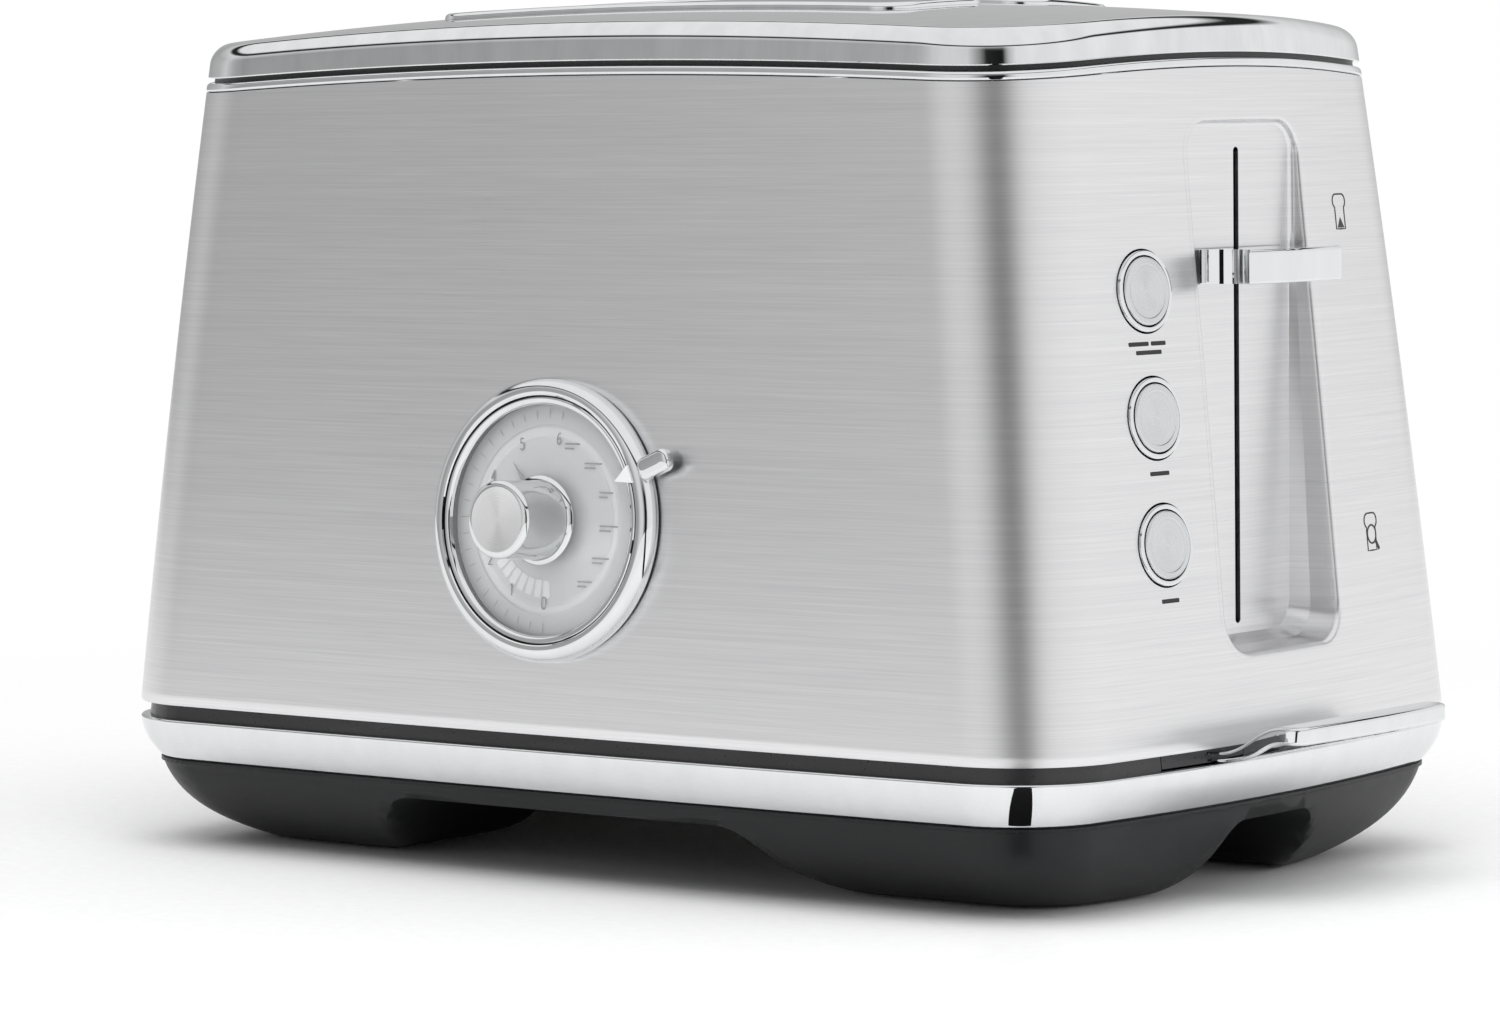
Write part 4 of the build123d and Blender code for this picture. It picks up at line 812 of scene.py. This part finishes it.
def lid_rows():
    """Rows up the lid's wall, round its shoulder, over the crown to its middle, and back underneath. Rings
    on the crown shrink towards the middle and take their height from the arch."""
    edge, angle = rim(steps, 0.0, 0.0, LID_APEX, LID_RADIUS)
    inward = np.stack([-np.sin(angle), np.cos(angle), np.zeros(len(angle))], -1)
    crown = edge + inward * LID_EDGE
    crown[:, 2] = arch(crown[:, 0], crown[:, 1], LID_APEX, LID_RADIUS)
    foot = rim(steps, lid_low)[0][:, 2]
    shoulder = edge[:, 2] - LID_EDGE
    rows = [wall_at(foot + 0.02, -0.25)]
    rows += [wall_at(foot + 0.3 + (shoulder - foot - 0.3) * share) for share in np.linspace(0, 1, 6)[:-1]]
    rows += bend(wall_at(shoulder), edge, crown, 18)
    outside = [(share, LID_APEX) for share in np.linspace(1, 0, 44)[1:]]
    inside = [(share * 0.985, LID_APEX - LID_WALL) for share in np.linspace(0, 1, 10)]
    for share, apex in outside + inside:
        x = crown[:, 0] * share
        y = crown[:, 1] * share
        rows.append(np.stack([x, y, arch(x, y, apex, LID_RADIUS)], -1))
    return rows + [wall_at(foot + 0.02, -LID_WALL)]


def slot_loop(middle, offset, corner=10):
    """X and Y of a bread slot's outline, moved out by an offset."""
    width, height = np.array(SLOT_SIZE) + 2 * offset
    loop = round_rectangle(width, height, SLOT_CORNER + offset, corner)
    return loop[:, 0], loop[:, 1] + middle


def collar_rows(middle):
    """Rows of a collar: a rounded lip over the lid's arch, and a thin wall down into the slot. Each is an
    offset from the slot's outline and a rise over the arch, or no rise for the wall's level foot."""
    rows = []
    for offset, rise in (
        (COLLAR_LIP, 0.02), (COLLAR_LIP, 0.5), (COLLAR_LIP - 0.25, 1.05), (COLLAR_LIP - 0.8, 1.42),
        (COLLAR_LIP - 1.3, COLLAR_RISE), (0.75, COLLAR_RISE), (0.35, 1.38), (0.1, 1.05), (0.0, 0.6),
        (0.0, -4.0), (0.0, None), (COLLAR_WALL - 0.2, None), (COLLAR_WALL - 0.2, -0.5),
    ):
        x, y = slot_loop(middle, offset, 14)
        level = np.full(len(x), LID_APEX - COLLAR_DROP)
        z = level if rise is None else arch(x, y, LID_APEX, LID_RADIUS) + rise
        rows.append(np.stack([x, y, z], -1))
    return rows


lid = grid_piece("lid_casting", np.array(lid_rows()), lid_chrome, wrap_rows=True)
slot_middles = (-SLOT_PITCH / 2, SLOT_PITCH / 2)
slot_cutters = []
for number, middle in enumerate(slot_middles):
    x, y = slot_loop(middle, 1.3)
    slot_cutters.append(prism(np.stack([x, y, np.full(len(x), LID_APEX - 26)], -1), (0, 0, 40)))
    name = f"slot_collar_{number + 1}"
    collar = grid_piece(name, np.array(collar_rows(middle)), chrome, wrap_rows=True)
    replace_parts(collar, "slot_collars")
cut(lid, slot_cutters)
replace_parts(lid, "lid")


# Base, gaskets, tray handle and lever, from the frame's own shapes

for name, old, material, body, slot, smooth in (
    ("base_plinth", "plinth", base_abs, "housing", "base_plastic", 32.0),
    ("rubber_feet", "foot_pads", rubber, "housing", "seal_rubber", 30.0),
    ("band_gasket", "shell_seal", gasket, "housing", "seal_rubber", 30.0),
    ("tray_gap_gasket", "tray_gasket", gasket, "tray", "seal_rubber", 30.0),
    ("crumb_tray_handle", "tray_handle", chrome, "tray", "bright_metal", 30.0),
    ("lift_lever_knob", "lever_knob", chrome, "carriage", "bright_metal", 30.0),
    ("selector_pointer_white", "selector_pointer", opal, "selector", "light_white", 30.0),
    ("time_light_blocks", "light_blocks", opal, "housing", "light_white", 30.0),
    ("darkness_needle", "dial_needle", zinc, "knob", "plated_steel", 30.0),
):
    smooth_copy(name, old, material, body, smooth)


# Dial

def dial_part(name, profile, material, old, body="housing", segments=192, smooth=35.0):
    """Turned piece on the dial's axis, in place of one of the frame's nodes."""
    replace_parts(turned(name, dial_place, profile, material, body, segments, smooth=smooth), old)


def lip_profile():
    """Polished lip inside the neck, which holds the clear cover."""
    low = LENS_TOP + 0.02
    inner = [(NECK_INNER - 0.7, low), (NECK_INNER - 0.55, LENS_TOP + 0.3), (NECK_INNER - 0.1, LIP_TOP - 0.1)]
    top = [(NECK_INNER + 0.2, LIP_TOP), (NECK_RADIUS - 0.5, LIP_TOP)]
    outer = [(NECK_RADIUS - 0.3, LIP_TOP - 0.2), (NECK_RADIUS - 0.3, low)]
    return inner + top + outer + inner[:1]


def selector_profile():
    """Domed ring: upright inside, a shelf, an arc to its widest and a rounded foot."""
    inside = NECK_RADIUS + 0.08
    dome = bend(
        np.array([NECK_RADIUS + 0.9, RING_SHELF]),
        np.array([RING_RADIUS - 0.5, RING_SHELF + 0.3]),
        np.array([RING_RADIUS, 2.2]),
        16,
        0.8,
    )
    start = [(inside, 0.5), (inside, RING_SHELF - 0.3), (NECK_RADIUS + 0.35, RING_SHELF - 0.05)]
    return [*start, *map(tuple, dome), (RING_RADIUS - 0.25, 1.1), (RING_RADIUS - 0.8, 0.5), (inside, 0.5)]


def face_profile():
    """Dial face with its raised ring."""
    low = FACE_RISE - 0.8
    raised = FACE_RISE + 0.22
    edge = NECK_INNER - 0.1
    ring = [(0.715, FACE_RISE), (0.735, raised), (0.79, raised), (0.81, FACE_RISE)]
    top = [(3.6, FACE_RISE), *[(NECK_INNER * share, rise) for share, rise in ring], (edge, FACE_RISE)]
    return [(3.6, low), *top, (edge, low), (3.6, low)]


def cover_profile():
    """Flat clear cover with softened edges."""
    inner = SHAFT_RADIUS + 0.4
    outer = NECK_INNER - 0.1
    corners = [(inner, LENS_RISE), (outer, LENS_RISE), (outer, LENS_TOP), (inner, LENS_TOP)]
    return rounded(corners + corners[:1], 0.25)


def knob_side_profile():
    """Knob's collar, waist, slightly tapered side and rounded front edge, closed behind the front disc."""
    front_edge = KNOB_RADIUS - KNOB_EDGE
    collar = [(KNOB_COLLAR - 0.2, 0.0), (KNOB_COLLAR, 0.2), (KNOB_COLLAR, 0.5), (KNOB_COLLAR - 0.25, 0.75)]
    low = [(SHAFT_RADIUS, 0.0), *collar, (KNOB_RADIUS + 0.25, 1.0), (KNOB_RADIUS, 1.4)]
    edge = bend(
        np.array([KNOB_RADIUS - 0.12, KNOB_RISE - 1.1]),
        np.array([KNOB_RADIUS - 0.2, KNOB_RISE]),
        np.array([front_edge, KNOB_RISE]),
        9,
    )
    side = [(radius, KNOB_BASE + rise) for radius, rise in low]
    back = [(front_edge, KNOB_RISE - 2.0), (SHAFT_RADIUS, KNOB_RISE - 3.0), (SHAFT_RADIUS, KNOB_BASE)]
    return [*side, (KNOB_RADIUS - 0.12, KNOB_RISE - 1.2), *map(tuple, edge), *back]


def knob_front_profile():
    """Front disc, dished by a parabola 0.35 mm deep."""
    front_edge = KNOB_RADIUS - KNOB_EDGE
    radii = front_edge - 0.8 * np.arange(1, 10)
    dish = [(radius, KNOB_RISE - 0.35 * (1 - (radius / front_edge) ** 2)) for radius in radii]
    back = (front_edge + 0.02, KNOB_RISE - 0.6)
    middle = [(0.0, KNOB_RISE - 0.35), (0.0, KNOB_RISE - 0.9)]
    return [back, (front_edge + 0.02, KNOB_RISE + 0.01), *dish, *middle, back]


def tab_rows():
    """Rounded tab on the selector ring: its outline is shrunk and raised row by row, then drawn in to a
    point above and below."""
    turn = math.radians(TAB_ANGLE)
    size = np.array([TAB_WIDTH, TAB_REACH + 2])
    loop = round_rectangle(*size, 1.9, 12)
    middle = RING_RADIUS + TAB_REACH / 2 - 1
    rows = []
    for offset, rise, arched in (
        (-0.5, 2.0, 0), (0, 2.5, 0), (0, 3.9, 0), (-0.15, 4.35, 0.2),
        (-0.5, 4.7, 0.5), (-1.1, 4.8, 0.8), (-1.9, 4.8, 1.0), (-2.7, 4.8, 1.0),
    ):
        small = loop * (1 + 2 * offset / size)
        across = small[:, 0] * math.cos(turn) + (small[:, 1] + middle) * math.sin(turn)
        up = -small[:, 0] * math.sin(turn) + (small[:, 1] + middle) * math.cos(turn)
        rows.append(dial_place.at(across, up, rise - 0.35 * arched * (small[:, 0] / TAB_WIDTH * 2) ** 2))
    ends = [np.repeat(row.mean(0)[None], len(loop), 0) for row in (rows[0], rows[-1])]
    return [ends[0], *rows, ends[1]]


dial_part("dial_inner_lip", lip_profile(), chrome, "dial_lip")
domed = selector_profile()
dial_part("selector_ring_polished", domed, chrome, "selector_ring", "selector", 256)
tab = grid_piece("selector_tab", np.array(tab_rows()), chrome, "selector")
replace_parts(tab, "selector_ring")
# The face's colour carries a painted highlight on its raised ring and painted shade by the neck wall
dial_part("dial_face_print", face_profile(), pearl_with_painted_light, "dial_face", smooth=10)
dial_part("dial_clear_cover", cover_profile(), acrylic, "dial_lens")
dial_part("darkness_knob_side", knob_side_profile(), chrome, "darkness_knob", "knob")
dial_part("darkness_knob_front", knob_front_profile(), knob_face, "darkness_knob", "knob")


# Print

def print_mesh(name, outlines, place, rise, material, thick=0.05):
    """Flat print on the housing: each closed outline, in millimetres across and up a place, becomes a plate
    of ink."""
    points = []
    faces = []
    for loop in outlines:
        loop = np.asarray(loop, float)
        base = len(points)
        count = len(loop)
        for level in (rise, rise + thick):
            points.extend(place.at(loop[:, 0], loop[:, 1], level))
        faces += (grid_faces(2, count) + base).tolist()
        faces += [list(range(base, base + count)), list(range(base + count, base + 2 * count))]
    mesh = bpy.data.meshes.new(name)
    mesh.from_pydata(into_frame(np.array(points)).tolist(), [], faces)
    shape = bmesh.new()
    shape.from_mesh(mesh)
    bmesh.ops.triangulate(shape, faces=shape.faces)
    bmesh.ops.recalc_face_normals(shape, faces=shape.faces)
    shape.to_mesh(mesh)
    shape.free()
    return dress(name, mesh, material, "housing")


def stroke(points, width):
    """Outline of a bent line: its points moved half the width to each side, square to the run."""
    points = np.asarray(points, float)
    run = np.gradient(points, axis=0)
    side = np.stack([-run[:, 1], run[:, 0]], -1) / np.linalg.norm(run, axis=1)[:, None] * width / 2
    return np.concatenate([points + side, (points - side)[::-1]])


def circle_stroke(centre, radius, width, count=40):
    """Circle drawn as a stroke."""
    turn = np.linspace(0, 2 * np.pi, count)
    return stroke(np.stack([centre[0] + radius * np.sin(turn), centre[1] + radius * np.cos(turn)], -1), width)


def dial_way(angle):
    """Direction across and up the dial at an angle clockwise from the top."""
    return np.array([math.sin(math.radians(angle)), math.cos(math.radians(angle))])


# Each digit is one stroke, in millimetres about its middle
DIGITS = (
    [
        (-0.6, 1), (-0.35, 1.45), (0.35, 1.45), (0.6, 1),
        (0.6, -1), (0.35, -1.45), (-0.35, -1.45), (-0.6, -1), (-0.6, 1),
    ],
    [(-0.3, 1.1), (0.1, 1.5), (0.1, -1.5)],
    [(-0.6, 0.9), (-0.35, 1.4), (0.3, 1.45), (0.62, 0.95), (0.4, 0.25), (-0.6, -1.42), (0.68, -1.42)],
    [
        (-0.55, 1.1), (0, 1.48), (0.5, 1.1), (0.45, 0.4), (0, 0.1),
        (0.55, -0.3), (0.6, -1.0), (0, -1.48), (-0.6, -1.05),
    ],
    [(0.35, -1.5), (0.35, 1.45), (-0.7, -0.7), (0.75, -0.7)],
    [
        (0.55, 1.45), (-0.45, 1.45), (-0.5, 0.2), (0.1, 0.4),
        (0.6, -0.1), (0.55, -1.05), (0, -1.48), (-0.6, -1.1),
    ],
    [
        (0.45, 1.35), (-0.1, 1.3), (-0.6, 0.3), (-0.6, -0.9), (-0.1, -1.48),
        (0.5, -1.1), (0.6, -0.4), (0.2, 0.15), (-0.55, -0.3),
    ],
)
DIGIT_ANGLES = (180, 211, 240, 270, 301, 335, 369)
# Settings on the dial's right: the angle and length of each one's long bar
SETTINGS = ((22, 4.6), (46, 5.4), (70, 4.2), (94, 5.6), (118, 5.2), (140, 4.4))


def dial_marks():
    """Outlines of the numbers, of two bars for each setting, and of the ticks outside the numbers."""
    marks = []
    for digit, angle in zip(DIGITS, DIGIT_ANGLES):
        corners = np.array(digit, float)
        legs = [np.linspace(a, b, 6, endpoint=False) for a, b in zip(corners[:-1], corners[1:])]
        fine = np.concatenate([*legs, corners[-1:]])
        marks.append(stroke(fine * 0.95 + dial_way(angle) * NECK_INNER * 0.70, 0.34))
    for angle, length in SETTINGS:
        middle = dial_way(angle) * NECK_INNER * 0.68
        for level, share in ((0.55, 1.0), (-0.55, 0.62)):
            left = middle + (-length / 2, level)
            marks.append(stroke(np.linspace(left, left + (length * share, 0), 8), 0.42))
    for angle in range(DIGIT_ANGLES[0], DIGIT_ANGLES[-1] + 1, 9):
        reach = 0.93 if (angle - DIGIT_ANGLES[0]) % 45 else 0.95
        way = dial_way(angle) * NECK_INNER
        marks.append(stroke(np.linspace(way * 0.865, way * reach, 4), 0.16))
    return marks


print_mesh("dial_numbers", dial_marks(), dial_place, FACE_RISE + 0.23, grey_ink, 0.04)


# Buttons

def button_ring_profile():
    """Polished ring that stands a little proud of the end wall round a button."""
    foot = BUTTON_RISE - 7.0
    outer = [(BUTTON_RING, foot), (BUTTON_RING, 0.35), (BUTTON_RING - 0.1, 0.58), (BUTTON_RING - 0.35, 0.7)]
    inner = [(BUTTON_INNER + 0.3, 0.7), (BUTTON_INNER + 0.08, 0.6), (BUTTON_INNER, 0.4), (BUTTON_INNER, foot)]
    return [(BUTTON_INNER, foot), *outer, *inner]


def button_cap_profile():
    """Cap with a rounded rim, a fine groove and a shallow dish."""
    edge = [(0.0, 0.65), (0.12, 0.92), (0.42, BUTTON_RISE), (1.5, BUTTON_RISE)]
    groove = [(1.75, BUTTON_RISE - 0.1), (1.95, BUTTON_RISE - 0.08), (2.3, BUTTON_RISE - 0.12)]
    top = [(BUTTON_CAP - back, rise) for back, rise in edge + groove]
    return [(0.0, -4.4), (BUTTON_CAP, -4.4), *top, (0.0, BUTTON_RISE - 0.42)]


def bar(x, y, width, height=1.0):
    """Flat bar about a point."""
    return round_rectangle(width, height, height * 0.3, 4, 4) + (x, y)


# Bars that stand under each button
BUTTON_BARS = (
    ("upper", BUTTON_PITCH, ((-3.4, 1.1, 7.0), (3.6, 1.1, 5.2), (0.0, -0.9, 9.0))),
    ("middle", 0.0, ((0.0, 0.6, 6.8),)),
    ("lower", -BUTTON_PITCH, ((0.0, 0.6, 6.2),)),
)
MARK_DROP = 13.2
for name, step, bars in BUTTON_BARS:
    spot = (0, step)
    body = f"{name}_button"
    own = Place(button_place.at(0.0, step, 0.0), button_place.across, button_place.out)
    # Spun face, centred on this button
    spun = turned_aluminium(f"spun_aluminium_{name}", own, "#D2D3D4", "#DEDFE0", (0.22, 0.32), 0.00025, 0.15)
    stem_profile = [(0.0, -9.6), (2.8, -9.6), (3.0, -9.4), (3.0, -4.3), (0.0, -4.3)]
    around = button_ring_profile()
    domed = button_cap_profile()
    ring = turned(f"button_{name}_ring", button_place, around, chrome, spot=spot)
    cap = turned(f"button_{name}_cap", button_place, domed, spun, body, spot=spot, smooth=20)
    stem = turned(f"button_{name}_stem", button_place, stem_profile, nylon, body, 48, spot)
    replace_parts(ring, "button_rings")
    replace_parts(cap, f"button_{name}")
    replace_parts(stem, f"button_{name}")
    marks = [bar(*each) for each in bars]
    under = end_place(BUTTON_Y, BUTTON_MID_Z + step - MARK_DROP)
    print_mesh(f"button_{name}_marks", marks, under, 0.04, black_ink, thick=0.03)


# Slice marks right of the recess

def slice_outline(width, height):
    """Slice of bread: a square foot under two round shoulders that join in one wide arc."""
    turn = np.linspace(-0.35 * np.pi, 0.5 * np.pi, 10)
    lobe = height * 0.2
    right = np.stack([width / 2 - lobe + lobe * np.cos(turn), height / 2 - lobe + lobe * np.sin(turn)], -1)
    foot = np.array([(0, -height / 2), (width * 0.36, -height / 2), (width * 0.36, 0)])
    half = np.concatenate([foot, right])
    return np.concatenate([half, half[::-1] * (-1, 1)])


arrow = np.array([(-1.7, -3.9), (1.7, -3.9), (0, -1.4)])
looking_glass = [circle_stroke((0.2, -0.6), 2.2, 0.45), stroke([(1.7, -2.0), (3.6, -4.4)], 0.9)]
for name, y, z, size, others in (
    ("slice_mark_top", 41.6, 158.6, (6.6, 8.4), [arrow]),
    ("slice_mark_low", 43.2, 81.5, (6.4, 9.0), looking_glass),
):
    marks = [stroke(slice_outline(*size), 0.4), *others]
    print_mesh(name, marks, end_place(y, z), 0.04, black_ink, thick=0.03)


# Floor, surroundings and lights

def staged(name, points, faces, material):
    """Flat object of the studio, its points in the frame's metres."""
    mesh = bpy.data.meshes.new(name)
    mesh.from_pydata(points, [], faces)
    mesh.materials.append(material)
    thing = bpy.data.objects.new(name, mesh)
    bpy.context.scene.collection.objects.link(thing)
    return thing


def pale_floor():
    """Sweep of pale paper, with a slight tooth. Away from the object it fades to plain white for what the
    camera, polish and clear pieces see."""
    material, place = new_material("pale_seamless_paper")
    tooth = grain(material, place, 300.0, detail=2.0)
    colour = node(material, "ShaderNodeValToRGB", {"Fac": tooth}, ((0.3, "#F4F4F4"), (0.7, "#F8F8F8")))
    relief = node(material, "ShaderNodeBump", {"Height": tooth}, Strength=0.05, Distance=0.00005)
    links = {"Base Color": colour, "Normal": relief}
    paper = node(material, "ShaderNodeBsdfPrincipled", links, Roughness=0.7, Specular_IOR_Level=0.2)
    away = node(material, "ShaderNodeVectorMath", {0: place}, operation="LENGTH").outputs["Value"]
    far = node(material, "ShaderNodeMapRange", {"Value": away}, From_Min=0.22, From_Max=0.62)
    seen = shown_to(material, "Is Glossy Ray")
    share = node(material, "ShaderNodeMath", {0: seen, 1: far}, operation="MULTIPLY")
    white = node(material, "ShaderNodeEmission")
    mixed = node(material, "ShaderNodeMixShader", {0: share, 1: paper, 2: white})
    node(material, "ShaderNodeOutputMaterial", {"Surface": mixed})
    staged("floor", [(-6, -6, 0), (6, -6, 0), (6, 6, 0), (-6, 6, 0)], [(0, 1, 2, 3)], material)


def shown_to(owner, *more):
    """One for rays from the camera, for rays through clear pieces and for those of the kinds named."""
    path = node(owner, "ShaderNodeLightPath").outputs
    total = path["Is Camera Ray"]
    for kind in ("Is Transmission Ray", *more):
        total = node(owner, "ShaderNodeMath", {0: total, 1: path[kind]}, operation="ADD", use_clamp=True)
    return total


# The dark gap in front of the near corner lies at this angle, anticlockwise from +X
GAP_ANGLE = -55.0
# Grey of the studio's walls by that angle
WALLS = (
    (-180, "#C4C4C4"), (-166, "#DADADA"), (-152, "#B4B4B4"), (-140, "#A2A2A2"), (-126, "#B2B2B2"),
    (-114, "#D6D6D6"), (-100, "#EAEAEA"), (-80, "#E2E2E2"), (-69, "#9C9C9C"), (-63, "#2A2A2A"),
    (-48, "#1A1A1A"), (-43, "#C4C4C4"), (-36, "#F4F4F4"), (20, "#FCFCFC"), (75, "#F8F8F8"),
    (105, "#C8C8C8"), (150, "#A8A8A8"), (180, "#C4C4C4"),
)
# How dark the joint between walls and roof is, by the upward share of the direction
JOINT = ((0.0, 0.0), (0.46, 0.0), (0.50, 1.0), (0.55, 1.0), (0.59, 0.0), (1.0, 0.0))


def studio():
    """Surroundings: plain white to the camera, and grey walls under a pale roof for reflections and light."""
    world = bpy.data.worlds.new("studio")
    bpy.context.scene.world = world
    world.use_nodes = True
    world.node_tree.nodes.clear()
    way = node(world, "ShaderNodeTexCoord").outputs["Generated"]
    parts = node(world, "ShaderNodeSeparateXYZ", {"Vector": way}).outputs
    turn = node(world, "ShaderNodeMath", {0: parts["Y"], 1: parts["X"]}, operation="ARCTAN2")
    share = node(world, "ShaderNodeMapRange", {"Value": turn}, From_Min=-math.pi, From_Max=math.pi)
    stops = [((angle + 180) / 360, code) for angle, code in WALLS]
    walls = node(world, "ShaderNodeValToRGB", {"Fac": share}, stops).outputs[0]
    over = node(world, "ShaderNodeMapRange", {"Value": parts["Z"]}, From_Min=0.30, From_Max=0.62)
    joint = node(world, "ShaderNodeFloatCurve", {"Value": parts["Z"]})
    curve = joint.mapping.curves[0]
    for level, value in JOINT[1:-1]:
        curve.points.new(level, value)
    curve.points[0].location = JOINT[0]
    curve.points[-1].location = JOINT[-1]
    for point in curve.points:
        point.handle_type = "VECTOR"
    joint.mapping.update()
    seen = walls
    for share, colour in ((over, "#FAFAFA"), (joint, "#2C2C2C"), (shown_to(world), "#FFFFFF")):
        mix = node(world, "ShaderNodeMix", {"Factor": share, 6: seen}, data_type="RGBA")
        mix.inputs[7].default_value = linear(colour)
        seen = mix.outputs[2]
    shine = node(world, "ShaderNodeBackground", {"Color": seen}, Strength=1.0)
    node(world, "ShaderNodeOutputWorld", {"Surface": shine})


def flag():
    """Black felt that only polish sees: a strip on the floor that widens away from the near corner, and a
    low stand at its far end."""
    material, place = new_material("black_felt")
    nap = grain(material, place, 400.0)
    colour = node(material, "ShaderNodeValToRGB", {"Fac": nap}, ((0.3, "#101010"), (0.7, "#161616")))
    finished(material, {"Base Color": colour}, Roughness=0.9, Specular_IOR_Level=0.1)
    turn = math.radians(GAP_ANGLE)
    away = np.array([math.cos(turn), math.sin(turn), 0])
    wide = np.array([-away[1], away[0], 0])
    near_corner = np.array([0.120, -0.077, 0])
    corners = []
    for reach, half, z in ((0.0, 0.005, 0.0006), (1.3, 0.15, 0.0006), (1.3, 0.15, 0.35)):
        middle = near_corner + away * reach + (0, 0, z)
        corners += [tuple(middle - wide * half), tuple(middle + wide * half)]
    felt = staged("flag", corners, [(0, 1, 3, 2), (2, 3, 5, 4)], material)
    felt.visible_camera = False
    felt.visible_diffuse = False
    felt.visible_shadow = False
    felt.visible_transmission = False


def card(name, place, size, aim, power):
    """Soft rectangular light, placed and aimed in the frame's metres, which polish doesn't show."""
    data = bpy.data.lights.new(name, "AREA")
    data.shape = "RECTANGLE"
    data.size, data.size_y = size
    data.energy = power
    light = bpy.data.objects.new(name, data)
    light.location = place
    light.rotation_euler = (Vector(aim) - Vector(place)).to_track_quat("-Z", "Y").to_euler()
    light.visible_glossy = False
    bpy.context.scene.collection.objects.link(light)


def photo_camera():
    """Camera on a sphere about its aim: round from the dial side, above the level and rolled."""
    turn, above, roll = (math.radians(angle) for angle in (CAMERA_ROUND, CAMERA_ABOVE, CAMERA_ROLL))
    back = np.array([math.sin(turn) * math.cos(above), -math.cos(turn) * math.cos(above), math.sin(above)])
    level = np.array([math.cos(turn), math.sin(turn), 0])
    steep = np.cross(back, level)
    right = math.cos(roll) * level + math.sin(roll) * steep
    place = into_frame(np.array(CAMERA_AIM) + back * CAMERA_AWAY)
    columns = np.stack([right, np.cross(back, right), back, place], -1)
    data = bpy.data.cameras.new("photo_view")
    data.lens = CAMERA_LENS
    data.sensor_fit = "HORIZONTAL"
    camera = bpy.data.objects.new("photo_view", data)
    camera.matrix_world = Matrix((*columns.tolist(), (0, 0, 0, 1)))
    bpy.context.scene.collection.objects.link(camera)
    bpy.context.scene.camera = camera


pale_floor()
studio()
flag()
card("key_above", (0.35, -0.6, 1.7), (1.6, 1.2), (0, 0, 0.1), 14.0)
card("fill_end", (1.7, 0.5, 0.7), (1.2, 1.0), (0.1, 0, 0.1), 6.0)
photo_camera()
bpy.context.scene.view_settings.view_transform = "Standard"
